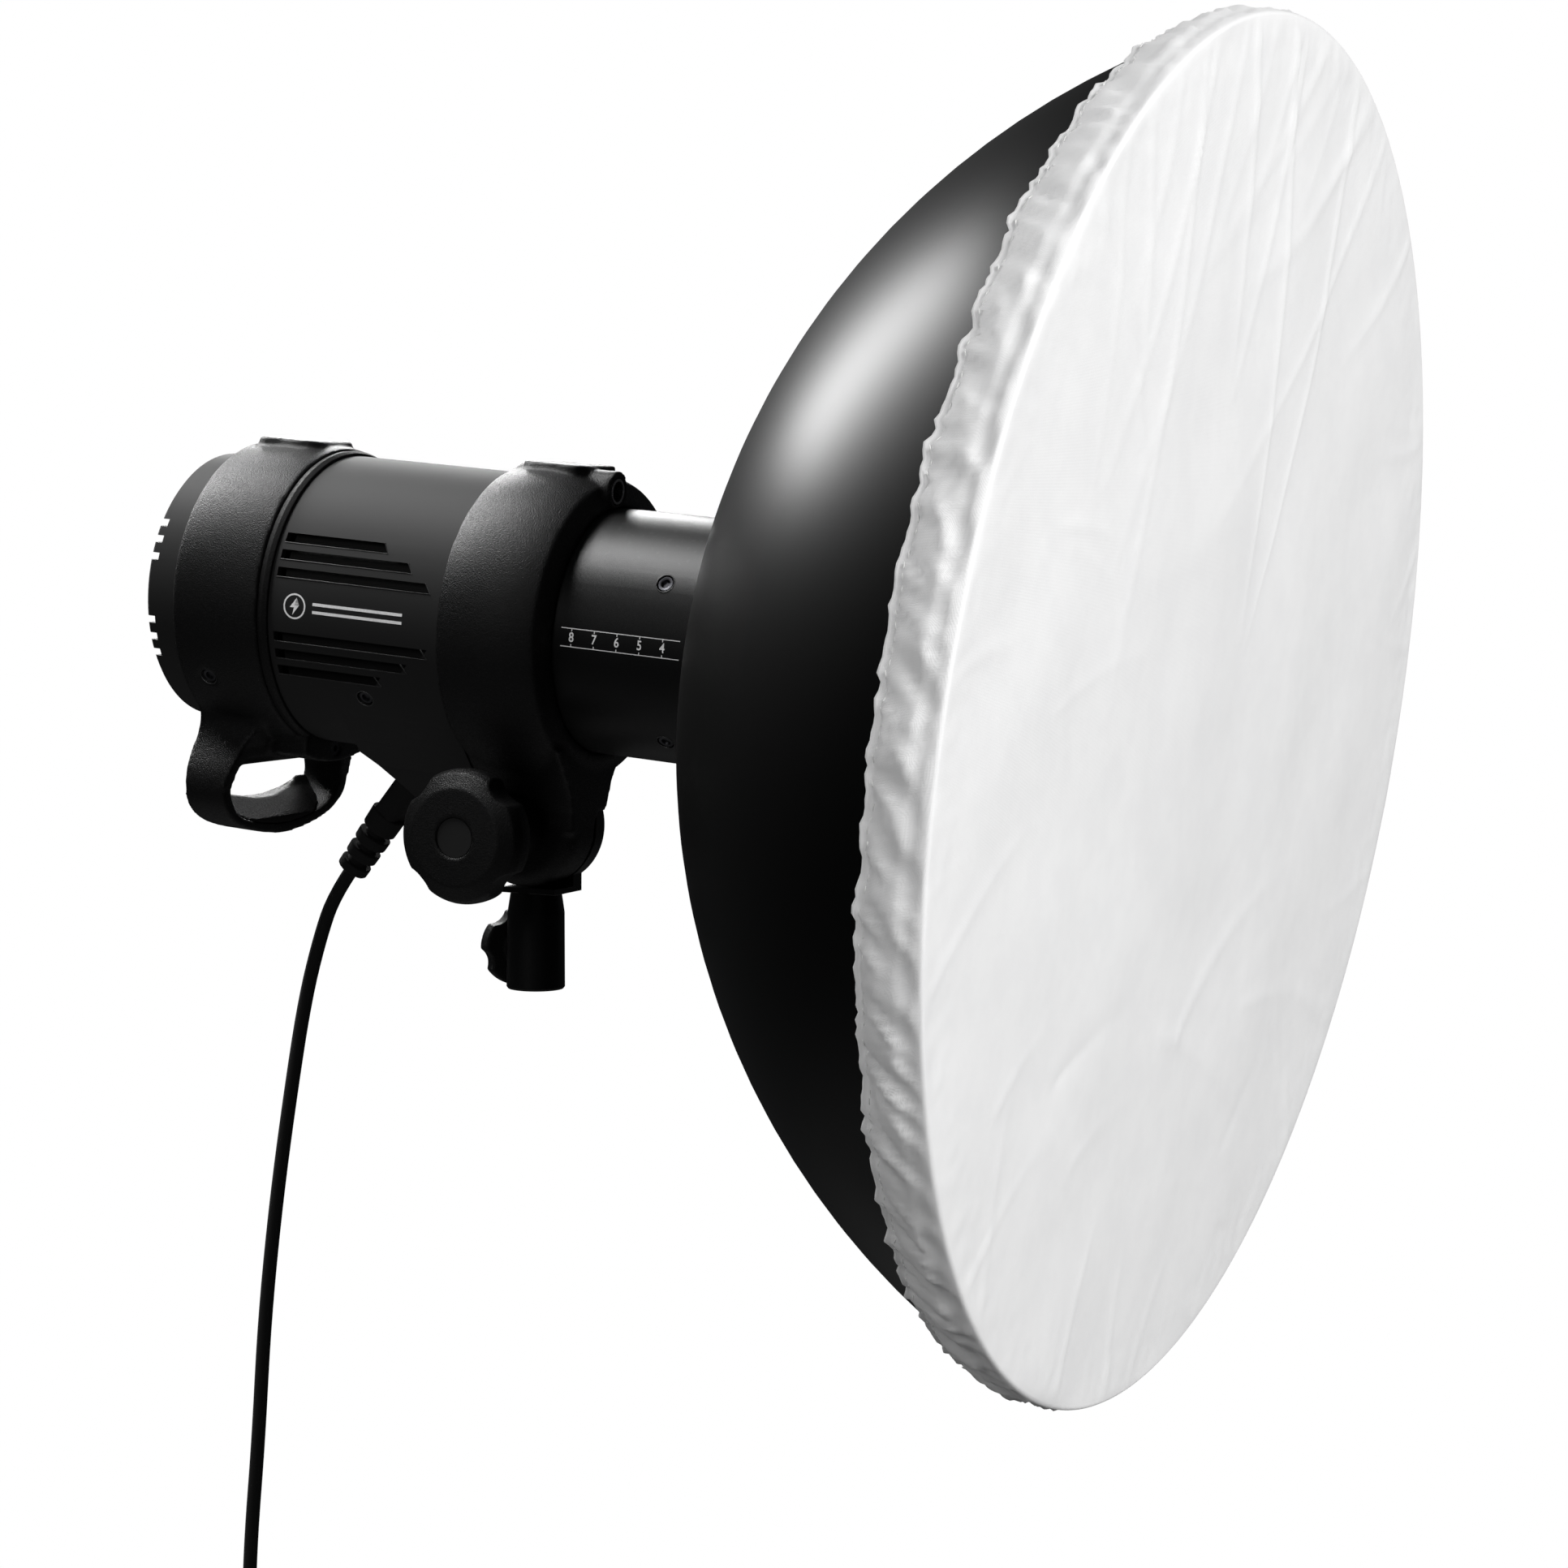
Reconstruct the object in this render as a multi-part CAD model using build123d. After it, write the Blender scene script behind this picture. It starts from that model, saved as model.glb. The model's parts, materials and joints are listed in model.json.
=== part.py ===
from build123d import *
import math
import os

# Monolight strobe with a bowl reflector, cloth diffuser, tilting stand bracket and mains lead.
# Millimetres. Origin: centre of the stand socket's open mouth. +Z up, the light fires along -Y.
# Head pieces are drawn level about the tilt pivot: x across, y = -forward, z = above the pivot.

# ---- driving dimensions ---------------------------------------------------------------
PIVOT_Z = 67.5            # tilt pivot above the socket's mouth
TILT = 4.42               # nose-down tilt of the head at rest, degrees
DROOP = 2.02              # further nose-down lean of the bowl on its rubber collar, degrees
DROOP_AT = 83.8           # forward station that the bowl leans about
AXIS_H = 82.4             # optical axis above the pivot
BODY_R = 59.6             # main body, outer radius
WALL = 2.6                # moulded wall
BODY_BACK, BODY_FRONT = -97.0, -17.3
CAP_R, CAP_BACK = 55.5, -160.0
BUMPER_FRONT = 29.0       # front face of the front bumper
TUBE_R, TUBE_WALL = 49.5, 2.0
TUBE_BACK, TUBE_FRONT = -4.0, 146.0
BOWL_R = 271.5            # the bowl is part of a sphere of this radius
BOWL_CENTRE = 365.5       # forward station of that sphere's centre
BOWL_WALL = 1.5
RIM_R = 258.2             # outside of the rolled rim
RIM_BEAD = 2.6
COLLAR_BORE = 49.8
DEFLECTOR_U = 246.5       # crown of the domed deflector
DEFLECTOR_CROWN = 900.0   # its radius of curvature
SOCK_R, SOCK_FRONT = 259.4, 283.8
SOCK_BAND = 25.0          # width of the cloth band round the rim
SOCK_CLOTH = 0.7
HINGE_R = 25.0            # round end of the head's leg
NEAR_X, SEAM_X, FAR_X = -15.0, 4.4, 12.2
BOLT_R = 5.0
RUN = 0.06                # radial clearance of a running fit
SOCKET_R, SOCKET_TOP = 12.0, 39.9
SPIGOT_BORE, SPIGOT_DEPTH = 8.1, 34.0
HEAD_SEAT = 36.9          # where the socket screw's sunk head bears
LOCK_Z = 14.5             # height of the stand lock screw
LOCK_TURN = 40.0          # its direction, degrees from +Y towards +X
KNOB_R, KNOB_OUT, KNOB_IN = 27.0, -66.0, -50.0
UMBRELLA_X, UMBRELLA_W = -6.0, 56.0
UMBRELLA_R, UMBRELLA_DEPTH = 4.2, 42.0
CROWN_HALF = 17.6  # half width of the bumper's top section, which holds the umbrella bore
SLOT_HIGH, SLOT_BACK = 3.9, -94.5
SLOTS = [(26.75, -47.1), (20.06, -33.8), (13.02, -23.9)]
CORD_D = 6.0

PANEL_U = -157.0          # rear control panel's face
BUTTONS = [("test_button", -33.0, 10.0), ("lamp_button", -33.0, -8.0), ("ready_button", 33.0, 10.0),
           ("slave_button", 33.0, -8.0)]
INLET_BLADES = [(-7.0, -2.0), (0.0, 3.0), (7.0, -2.0)]
SCREW_STATIONS = [(-127.8, -32.0, 63.2), (-55.6, -35.6, BODY_R)]
TUBE_SCREWS = [(73.0, 29.8), (72.5, -50.3)]

os.makedirs("parts", exist_ok=True)
made = {}


# ---- helpers --------------------------------------------------------------------------
def place_head(shape):
    """Stand a level head piece at the rest tilt on the pivot."""
    return Pos(0, 0, PIVOT_Z) * Rot(TILT, 0, 0) * shape


def lean(shape):
    """Lean a bowl piece by its droop, still in the level head frame."""
    return Pos(0, -DROOP_AT, AXIS_H) * Rot(DROOP, 0, 0) * Pos(0, DROOP_AT, -AXIS_H) * shape


def keep(name, shape, frame="head"):
    """Place a piece, or a list of separate solids, and remember it under its node name."""
    if isinstance(shape, list):
        shape = Compound(children=shape)
    if frame == "bowl":
        shape = lean(shape)
    if frame in ("head", "bowl"):
        shape = place_head(shape)
    solids = shape.solids()
    made[name] = Compound(children=list(solids)) if len(solids) > 1 else solids[0]


def turned(outline):
    """Solid of revolution about the optical axis from (forward, radius) points."""
    face = make_face(Polyline(*[(r, -u) for u, r in outline], close=True))
    return Pos(0, 0, AXIS_H) * revolve(face, Axis.Y)


def turned_edges(*edges):
    """The same from edges drawn with x = radius and y = -forward."""
    return Pos(0, 0, AXIS_H) * revolve(make_face(Curve() + list(edges)), Axis.Y)


def ring(u0, u1, r_in, r_out):
    """Plain ring or tube about the optical axis."""
    if r_in <= 0:
        return turned([(u0, 0), (u1, 0), (u1, r_out), (u0, r_out)])
    return turned([(u0, r_in), (u1, r_in), (u1, r_out), (u0, r_out)])


def block(x0, x1, u0, u1, w0, w1):
    """Box in head terms: across, forward, above the pivot."""
    return Pos((x0 + x1) / 2, -(u0 + u1) / 2, (w0 + w1) / 2) * Box(x1 - x0, abs(u1 - u0), abs(w1 - w0))


def rod(start, end, radius):
    """Round bar between two points."""
    a, b = Vector(*start), Vector(*end)
    plane = Plane(origin=a, z_dir=b - a)
    return extrude(plane * Circle(radius), (b - a).length)


def along_x(x0, x1, radius, y=0.0, z=0.0):
    """Round bar parallel to X."""
    return rod((x0, y, z), (x1, y, z), radius)


def forward_rod(x, w, u0, u1, radius):
    """Round bar parallel to the optical axis."""
    return rod((x, -u0, w), (x, -u1, w), radius)


def side_screw(u, angle, surface, radius=3.0, depth=9.0, sink=1.0, tall=3.0):
    """Socket-head screw whose axis points at the optical axis from the -X side."""
    c, s = math.cos(math.radians(angle)), math.sin(math.radians(angle))

    def at(r):
        return (-r * c, -u, AXIS_H + r * s)

    head = rod(at(surface - sink), at(surface - sink - tall), radius)
    shank = rod(at(surface - sink - tall), at(surface - depth), radius * 0.55)
    drive = extrude(Plane(origin=at(surface - sink), z_dir=Vector(*at(0)) - Vector(*at(9)))
                    * RegularPolygon(radius * 0.5, 6), tall * 0.6)
    return head + shank - drive


def side_sink(u, angle, surface, radius=3.6, deep=4.0):
    """Round counterbore for a side screw."""
    c, s = math.cos(math.radians(angle)), math.sin(math.radians(angle))
    return rod((-(surface + 3) * c, -u, AXIS_H + (surface + 3) * s),
               (-(surface - deep) * c, -u, AXIS_H + (surface - deep) * s), radius)


def side_shank(u, angle, surface, radius, depth=9.0):
    """Clearance for a side screw's shank."""
    c, s = math.cos(math.radians(angle)), math.sin(math.radians(angle))
    return rod((-surface * c, -u, AXIS_H + surface * s),
               (-(surface - depth - 1) * c, -u, AXIS_H + (surface - depth - 1) * s), radius)


def lobed(radius, lobes, depth, bite, turn=0.0):
    """Face of a hand knob: a disc with round bites between its lobes."""
    face = Circle(radius)
    for i in range(lobes):
        a = math.radians(turn + 360.0 / lobes * i)
        face -= Pos((radius + bite - depth) * math.cos(a), (radius + bite - depth) * math.sin(a)) * Circle(bite)
    return face


def both_sides(make):
    """A feature and its mirror image across the head."""
    piece = make()
    return piece + mirror(piece, Plane.YZ)


# ---- stand bracket --------------------------------------------------------------------
def stand_bracket():
    """Socket for the stand's spigot, the arm that carries the tilt bolt, and their screw."""
    c, s = math.cos(math.radians(LOCK_TURN)), math.sin(math.radians(LOCK_TURN))
    aim = Vector(s, c, 0)
    base = Vector(0, 0, LOCK_Z)
    outline = Polyline((0, 0), (SOCKET_R - 0.6, 0), (SOCKET_R, 0.8), (SOCKET_R - 0.3, 31.3),
                       (10.4, SOCKET_TOP), (0, SOCKET_TOP), close=True)
    socket = revolve(Plane.XZ * make_face(outline), Axis.Z)
    socket += extrude(Plane(origin=base + aim * 6, z_dir=aim) * Circle(7.0), 8.5)
    socket -= rod((0, 0, -1), (0, 0, SPIGOT_DEPTH), SPIGOT_BORE)
    socket -= rod(base + aim * 2, base + aim * 20, 4.0)
    socket -= rod((0, 0, SPIGOT_DEPTH - 1), (0, 0, HEAD_SEAT), 4.8)
    socket -= rod((0, 0, SPIGOT_DEPTH - 1), (0, 0, SOCKET_TOP + 1), 2.6)
    keep("stand_socket", socket, "row")

    shoe = rod(base + aim * (SPIGOT_BORE + 0.1), base + aim * 10.4, 3.9)
    keep("clamp_shoe", shoe, "row")

    arm = along_x(SEAM_X + 1.2, FAR_X, HINGE_R, z=PIVOT_Z)
    arm += Pos((SEAM_X + 1.2 + FAR_X) / 2, -4.45, (SOCKET_TOP + PIVOT_Z) / 2) * Box(
        FAR_X - SEAM_X - 1.2, 19.9, PIVOT_Z - SOCKET_TOP)
    foot_top = PIVOT_Z - HINGE_R - 0.35
    arm += Pos((FAR_X - 10.0) / 2, -1.9, (SOCKET_TOP + foot_top) / 2) * Box(FAR_X + 10.0, 25.0, foot_top - SOCKET_TOP)
    arm -= along_x(0, 20, BOLT_R + 0.02, z=PIVOT_Z)
    arm -= rod((0, 0, SOCKET_TOP - 1), (0, 0, foot_top + 1), 2.6)
    keep("bracket_arm", arm, "row")

    screw = rod((0, 0, HEAD_SEAT - 0.5), (0, 0, foot_top), 2.5)
    screw += rod((0, 0, SPIGOT_DEPTH + 0.3), (0, 0, HEAD_SEAT), 4.6)
    screw -= extrude(Pos(0, 0, SPIGOT_DEPTH + 0.3) * RegularPolygon(2.2, 6), 1.8)
    keep("socket_screw", screw, "row")

    disc = along_x(SEAM_X + 0.1, SEAM_X + 1.1, 20.0, z=PIVOT_Z) - along_x(0, 20, BOLT_R + 0.3, z=PIVOT_Z)
    keep("friction_disc", disc, "row")

    bolt = along_x(KNOB_IN - 6.0, FAR_X, BOLT_R, z=PIVOT_Z) + along_x(FAR_X, FAR_X + 5.0, 8.5, z=PIVOT_Z)
    hexagon = Plane(origin=(FAR_X + 5.0, 0, PIVOT_Z), z_dir=(-1, 0, 0)) * RegularPolygon(4.4, 6)
    bolt -= extrude(hexagon, 3.2)
    keep("tilt_bolt", bolt, "row")

    # the stand lock: a lobed hand knob on its clamp screw
    knob_plane = Plane(origin=base + aim * 15.2, z_dir=aim)
    knob = extrude(knob_plane * lobed(16.0, 5, 2.2, 7.0, 18.0), 9.0)
    knob = chamfer(knob.faces().sort_by(Axis(tuple(base), tuple(aim)))[-1].edges(), 1.4)
    knob += extrude(Plane(origin=base + aim * 14.7, z_dir=aim) * Circle(8.0), 1.0)
    knob -= rod(base + aim * 10, base + aim * 20.6, 3.96)
    keep("lock_knob", knob, "row")
    keep("lock_screw", rod(base + aim * 10.6, base + aim * 20.5, 3.92), "row")


def tilt_knob():
    """Hand knob that clamps the tilt: a mushroom with a long hub, a cap and a washer."""
    side = Plane(origin=(KNOB_IN, 0, PIVOT_Z), x_dir=(0, -1, 0), z_dir=(-1, 0, 0))
    knob = extrude(side * lobed(KNOB_R, 4, 3.4, 12.0, 45.0), KNOB_IN - KNOB_OUT)
    crown = revolve(make_face(Polyline((0, KNOB_OUT - 0.1), (19.5, KNOB_OUT + 0.6), (25.5, KNOB_OUT + 4.2),
                                       (27.6, KNOB_OUT + 9.0), (26.0, KNOB_IN + 0.1), (0, KNOB_IN + 0.1), close=True)), Axis.Y)
    knob = knob & (Pos(0, 0, PIVOT_Z) * Rot(0, 0, -90) * crown)
    knob += along_x(KNOB_IN - 0.5, NEAR_X - 1.9, 12.5, z=PIVOT_Z)
    knob -= along_x(KNOB_IN - 6.5, 0, BOLT_R + RUN, z=PIVOT_Z)
    knob -= along_x(KNOB_OUT - 1, KNOB_OUT + 2.4, 8.0, z=PIVOT_Z)
    keep("tilt_knob", knob, "row")
    cap = along_x(KNOB_OUT + 1.0, KNOB_OUT + 2.4, 7.8, z=PIVOT_Z)
    keep("tilt_knob_cap", cap, "row")
    washer = along_x(NEAR_X - 1.8, NEAR_X - 0.1, 11.0, z=PIVOT_Z) - along_x(-30, 0, BOLT_R + 0.2, z=PIVOT_Z)
    keep("tilt_washer", washer, "row")


# ---- head casings ---------------------------------------------------------------------
NEAR_SIDE = [(15.0, -HINGE_R - 1), (15.0, 2), (16.8, 9), (21.4, 17.8), (30.6, 28.2), (43.1, 41.4), (45.0, 60)]
FAR_SIDE = [(12.4, -HINGE_R - 1), (12.4, 9), (13.2, 18), (15.5, 28), (22.0, 38), (36.0, 48), (45.0, 60)]


def flare(side_points, far=NEAR_SIDE):
    """Leg or belly: a side outline in (forward, height) narrowed sideways towards the hinge."""
    side = extrude(Plane.YZ * make_face(Polyline(*[(-u, w) for u, w in side_points], close=True)), 60, both=True)
    front_points = far + [(-x, w) for x, w in reversed(NEAR_SIDE)]
    front = extrude(Plane.XZ * make_face(Polyline(*front_points, close=True)), 160, both=True)
    return side & front


def hinge_room():
    """Space that the bracket arm and the stand's top sweep beside the leg."""
    return along_x(SEAM_X, 60, HINGE_R + 0.9)


def hub_room():
    """Space round the tilt knob's hub."""
    return along_x(-60, NEAR_X, 13.4)


def main_housing():
    """Tube body with slanted side vents and a belly that carries the mains inlet."""
    shell = ring(BODY_BACK, BODY_FRONT, BODY_R - WALL, BODY_R)
    shell += ring(BODY_BACK - 8, BODY_BACK + 1, 54.4, BODY_R - WALL - 0.1)
    shell += ring(BODY_FRONT - 1, BODY_FRONT + 8, 54.4, BODY_R - WALL - 0.1)
    shell += ring(BODY_BACK + 0.5, BODY_BACK + 1, 54.4, BODY_R - 1)
    shell += ring(BODY_FRONT - 1, BODY_FRONT - 0.5, 54.4, BODY_R - 1)
    belly = flare([(-71.5, 46), (-70.4, 23), (BODY_FRONT, -18.2), (BODY_FRONT, 46)])
    belly -= ring(BODY_BACK, 0, 0, BODY_R - WALL)
    belly -= along_x(NEAR_X - 0.1, SEAM_X + 0.1, HINGE_R + 0.05) + hinge_room() + hub_room()
    shell += belly
    shell -= forward_rod(UMBRELLA_X, AXIS_H + UMBRELLA_W, -14.5, 0, UMBRELLA_R + 1.6)
    for height, front in SLOTS:
        for w in (height, -height):
            low, high = AXIS_H + w - SLOT_HIGH / 2, AXIS_H + w + SLOT_HIGH / 2
            slant = math.copysign(1.6, w)
            outline = [(SLOT_BACK, low), (front + slant, low), (front - slant, high), (SLOT_BACK, high)]
            face = make_face(Polyline(*[(-u, z) for u, z in outline], close=True))
            shell -= extrude(Plane.YZ * face, 70, both=True)
    shell -= extrude(inlet_plane(-30.0) * Rectangle(29.0, 21.0), 34.0)
    for u, angle, surface in SCREW_STATIONS[1:]:
        shell -= both_sides(lambda: side_sink(u, angle, surface, deep=2.0))
        shell -= both_sides(lambda: side_shank(u, angle, surface, 2.0))
    keep("main_housing", shell)


def inlet_plane(out=0.0):
    """Plane on the belly's sloped rear face, z pointing out of it; out moves it along z."""
    normal = Vector(0, 0.613, -0.790).normalized()
    return Plane(origin=Vector(0, 56.8, 12.4) + normal * out, x_dir=(1, 0, 0), z_dir=normal)


def front_bumper():
    """Front ring with its flat top pad, umbrella boss and the leg down to the hinge."""
    outer = ThreePointArc((61.7, 17.3), (64.8, -1.5), (61.2, -22.0))
    bumper = turned_edges(
        Line((57.0, 17.3), (61.7, 17.3)), outer, Line((61.2, -22.0), (59.6, -26.0)),
        Line((59.6, -26.0), (51.6, -BUMPER_FRONT)), Line((51.6, -BUMPER_FRONT), (49.6, -BUMPER_FRONT)),
        Line((49.6, -BUMPER_FRONT), (49.6, -24.0)), Line((49.6, -24.0), (54.6, -21.0)),
        Line((54.6, -21.0), (54.6, 8.6)), Line((54.6, 8.6), (57.0, 8.6)), Line((57.0, 8.6), (57.0, 17.3)))
    pad = block(-17, 17, -11, 18, AXIS_H + 50, AXIS_H + 65.3)
    pad = fillet(pad.edges().filter_by(Axis.Z), 7.0)
    bumper += pad - ring(-30, 40, 0, 58)
    boss = forward_rod(UMBRELLA_X, AXIS_H + UMBRELLA_W, -15, 30, 8.2)
    boss += block(UMBRELLA_X - 8.2, UMBRELLA_X + 8.2, -10, 22, AXIS_H + 50, AXIS_H + 60)
    boss = boss & (ring(-15, 30, 54.8, 64.6) + ring(22, 30, 49.8, 60.0))
    bumper += boss - ring(-20, -8.4, 0, 57.0)
    leg = flare([(BODY_FRONT, 36), (28.0, 36), (27.0, 26), (25.0, 2), (25.0, 0), (BODY_FRONT, 0)], FAR_SIDE)
    barrel = along_x(NEAR_X, SEAM_X, HINGE_R)
    barrel = fillet(barrel.edges().filter_by(GeomType.CIRCLE).sort_by(Axis.X)[0], 7.0)
    bumper += leg - ring(-30, 40, 0, 57.2)
    bumper -= hinge_room() + hub_room()
    bumper += barrel
    bumper -= along_x(NEAR_X - 1, SEAM_X + 1, BOLT_R + RUN)
    bumper -= forward_rod(UMBRELLA_X, AXIS_H + UMBRELLA_W, -13.4, 40, UMBRELLA_R + 1.1)
    crown = block(-CROWN_HALF, CROWN_HALF, -60, 60, AXIS_H + 40, AXIS_H + 80)
    keep("bumper_crown", bumper & crown)
    keep("front_bumper", bumper - crown)

    sleeve = forward_rod(UMBRELLA_X, AXIS_H + UMBRELLA_W, -13.2, 29.6, UMBRELLA_R + 1.0)
    sleeve -= forward_rod(UMBRELLA_X, AXIS_H + UMBRELLA_W, 29.6 - UMBRELLA_DEPTH, 30, UMBRELLA_R)
    keep("umbrella_sleeve", sleeve)


def loop_outline(points):
    """Closed face, symmetric across the head, from half an outline in (across, height)."""
    half = [(x, w) for x, w in points]
    return make_face(Spline(*half, *[(-x, w) for x, w in reversed(half[:-1])]) + Line((-half[0][0], half[0][1]), half[0]))


def rear_bumper():
    """Rear ring that runs down into a hand loop, and the soft grip in the loop."""
    outer = ThreePointArc((62.1, 101.2), (63.9, 122.0), (61.7, 142.0))
    bumper = turned_edges(
        Line((57.0, 101.2), (62.1, 101.2)), outer, Line((61.7, 142.0), (60.6, 143.0)),
        Line((60.6, 143.0), (55.7, 143.0)), Line((55.7, 143.0), (55.7, 140.0)),
        Line((55.7, 140.0), (57.0, 140.0)), Line((57.0, 140.0), (57.0, 101.2)))
    pad = block(-17, 17, -138, -108, AXIS_H + 50, AXIS_H + 64.6)
    pad = fillet(pad.edges().filter_by(Axis.Z), 7.0)
    bumper += pad - ring(-150, -90, 0, 58)

    outside = loop_outline([(45.0, 40.0), (38.5, 28.5), (43.5, 16.0), (47.3, 5.0), (46.0, -3.0), (39.5, -10.5),
                            (28.0, -15.4), (12.0, -18.6), (0, -19.5)])
    inside = loop_outline([(33.5, 22.0), (38.9, 12.0), (41.0, 4.0), (39.6, -3.0), (34.2, -8.8), (24.0, -12.6),
                           (10.0, -14.9), (0, -15.4)])
    slab = extrude(Plane.XZ.offset(-160) * outside, 80, dir=(0, -1, 0))
    hole = extrude(Plane.XZ.offset(-160) * inside, 80, dir=(0, -1, 0))
    side = Polyline(*[(-u, w) for u, w in [(-141.6, 45), (-141.6, 20), (-140.2, -30), (-121.5, -30),
                                            (-121.5, 1), (-117.0, 20), (-106.0, 38), (-105.0, 45)]], close=True)
    window = extrude(Plane.YZ * make_face(side), 60, both=True)
    loop = (slab & window) - ring(-150, -90, 0, 57.0)
    boss = (ring(-119, -98.0, 57.0, 68.6) & block(-23, 23, -119, -98, 5, 30))
    bumper = bumper + loop + boss - (hole & block(-60, 60, -145, -119.1, -30, 18.4))
    bumper -= forward_rod(0, 19.2, -100, -90, 3.4)
    bumper -= forward_rod(0, 19.2, -111, -99, 1.7)
    for u, angle, surface in SCREW_STATIONS[:1]:
        bumper -= both_sides(lambda: side_sink(u, angle, surface, deep=2.0))
        bumper -= both_sides(lambda: side_shank(u, angle, surface, 2.0))
    keep("rear_bumper", bumper)

    lip = [(60, -40), (60, 24), (39.6, 6.2), (36.4, 3.2), (29.8, -1.0), (21.0, -3.4), (8.0, -5.2), (0, -5.5)]
    top = Polyline(*lip, *[(-x, w) for x, w in reversed(lip[:-1])], close=True)
    grip = extrude(Plane.XZ.offset(-139.6) * inside, 17.4, dir=(0, -1, 0))
    grip = grip & extrude(Plane.XZ.offset(-160) * make_face(top), 80, dir=(0, -1, 0))
    slope = Polyline((140, 2), (136, -3), (121, -13.5), (121, 30), (140, 30), close=True)
    grip -= extrude(Plane.YZ * make_face(slope), 60, both=True)
    keep("handle_grip", grip)

    screw = forward_rod(0, 19.2, -100.0, -98.9, 3.2) + forward_rod(0, 19.2, -110.5, -99.9, 1.65)
    screw -= extrude(Plane(origin=(0, 98.9, 19.2), z_dir=(0, 1, 0)) * RegularPolygon(1.5, 6), 1.0)
    keep("loop_screw", screw)
    seal = turned([(-101.1, 57.05), (-101.1, 61.3), (-99.0, 61.6), (-97.1, 60.7), (-97.1, 57.05)])
    keep("seal_ring", seal - block(-23.2, 23.2, -102, -96, 5, 35))


def rear_end():
    """Rear cap with its vent notches, and the control panel set in it."""
    cap = turned([(CAP_BACK, 50.5), (CAP_BACK, CAP_R - 1.6), (CAP_BACK + 1.6, CAP_R), (-139.9, CAP_R),
                  (-139.9, 56.8), (-137.0, 56.8), (-137.0, 52.9), (PANEL_U + 2.5, 52.9), (PANEL_U + 2.5, 50.5)])
    for height, _ in SLOTS:
        for w in (height, -height):
            notch = block(-60, -40, CAP_BACK - 1, CAP_BACK + 4.4, AXIS_H + w - 1.5, AXIS_H + w + 1.5)
            cap = cap - notch - mirror(notch, Plane.YZ)
    keep("rear_cap", cap)

    panel = ring(PANEL_U, PANEL_U + 2.4, 0, 50.3)
    for x, w, width, high in [(0, 25, 44.4, 20.4), (0, -38, 20.6, 12.6)]:
        panel -= block(x - width / 2, x + width / 2, -170, -140, AXIS_H + w - high / 2, AXIS_H + w + high / 2)
    for x, w, radius in [(0, -8, 3.06)] + [(x, w, 4.55) for _, x, w in BUTTONS] + [(24, -33, 4.05), (-24, -33, 6.05)]:
        panel -= forward_rod(x, AXIS_H + w, -170, -140, radius)
    keep("rear_panel", panel)
    window = block(-22, 22, PANEL_U - 0.4, PANEL_U + 2.2, AXIS_H + 15, AXIS_H + 35)
    keep("display_window", window)

    dial = forward_rod(0, AXIS_H - 8, PANEL_U - 11.5, PANEL_U - 0.5, 16.0)
    dial = chamfer(dial.edges().filter_by(GeomType.CIRCLE).sort_by(Axis.Y)[-1], 1.6)
    for i in range(24):
        a = math.radians(15 * i)
        dial -= forward_rod(16.5 * math.cos(a), AXIS_H - 8 + 16.5 * math.sin(a), PANEL_U - 12, PANEL_U, 1.0)
    dial += forward_rod(0, AXIS_H - 8, PANEL_U - 1, PANEL_U + 10, 3.0)
    keep("energy_dial", dial)
    for name, x, w in BUTTONS:
        button = forward_rod(x, AXIS_H + w, PANEL_U - 1.6, PANEL_U + 4, 4.45)
        button += forward_rod(x, AXIS_H + w, PANEL_U + 2.5, PANEL_U + 3.5, 5.4)
        keep(name, button)
    rocker = [(PANEL_U - 1.6, 5.2), (PANEL_U - 0.6, 0), (PANEL_U - 1.6, -5.2), (PANEL_U + 3.2, -4.4), (PANEL_U + 3.2, 4.4)]
    face = make_face(Polyline(*[(-u, AXIS_H - 38 + w) for u, w in rocker], close=True))
    keep("power_rocker", extrude(Plane.YZ * face, 9.8, both=True))
    jack = forward_rod(24, AXIS_H - 33, PANEL_U - 1.5, PANEL_U + 10, 4.0)
    keep("sync_socket", jack - forward_rod(24, AXIS_H - 33, PANEL_U - 2, PANEL_U + 8, 1.8))
    fuse = forward_rod(-24, AXIS_H - 33, PANEL_U - 3.0, PANEL_U + 16, 6.0)
    keep("fuse_holder", fuse - block(-28, -20, PANEL_U - 4, PANEL_U - 1.8, AXIS_H - 33.7, AXIS_H - 32.3))


# ---- what the head holds --------------------------------------------------------------
def power_inlet():
    """Mains inlet set in the belly: a shroud with three blades."""
    shroud = extrude(inlet_plane(-19.0) * Rectangle(28.6, 20.6), 19.0)
    shroud -= extrude(inlet_plane(-15.6) * Rectangle(24.6, 17.6), 20.0)
    for x, y in INLET_BLADES:
        shroud += extrude(inlet_plane(-16.0) * Pos(x, y) * Rectangle(2.0, 4.0), 13.0)
    keep("power_inlet", shroud)
    connector = extrude(inlet_plane(-15.0) * Rectangle(24.2, 17.2), 15.4)
    for x, y in INLET_BLADES:
        connector -= extrude(inlet_plane(-15.5) * Pos(x, y) * Rectangle(2.4, 4.4), 14.0)
    grip = extrude(inlet_plane(0.3) * RectangleRounded(16.0, 13.0, 4.5), 23.7, taper=3)
    keep("mains_connector", connector + grip)


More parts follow.
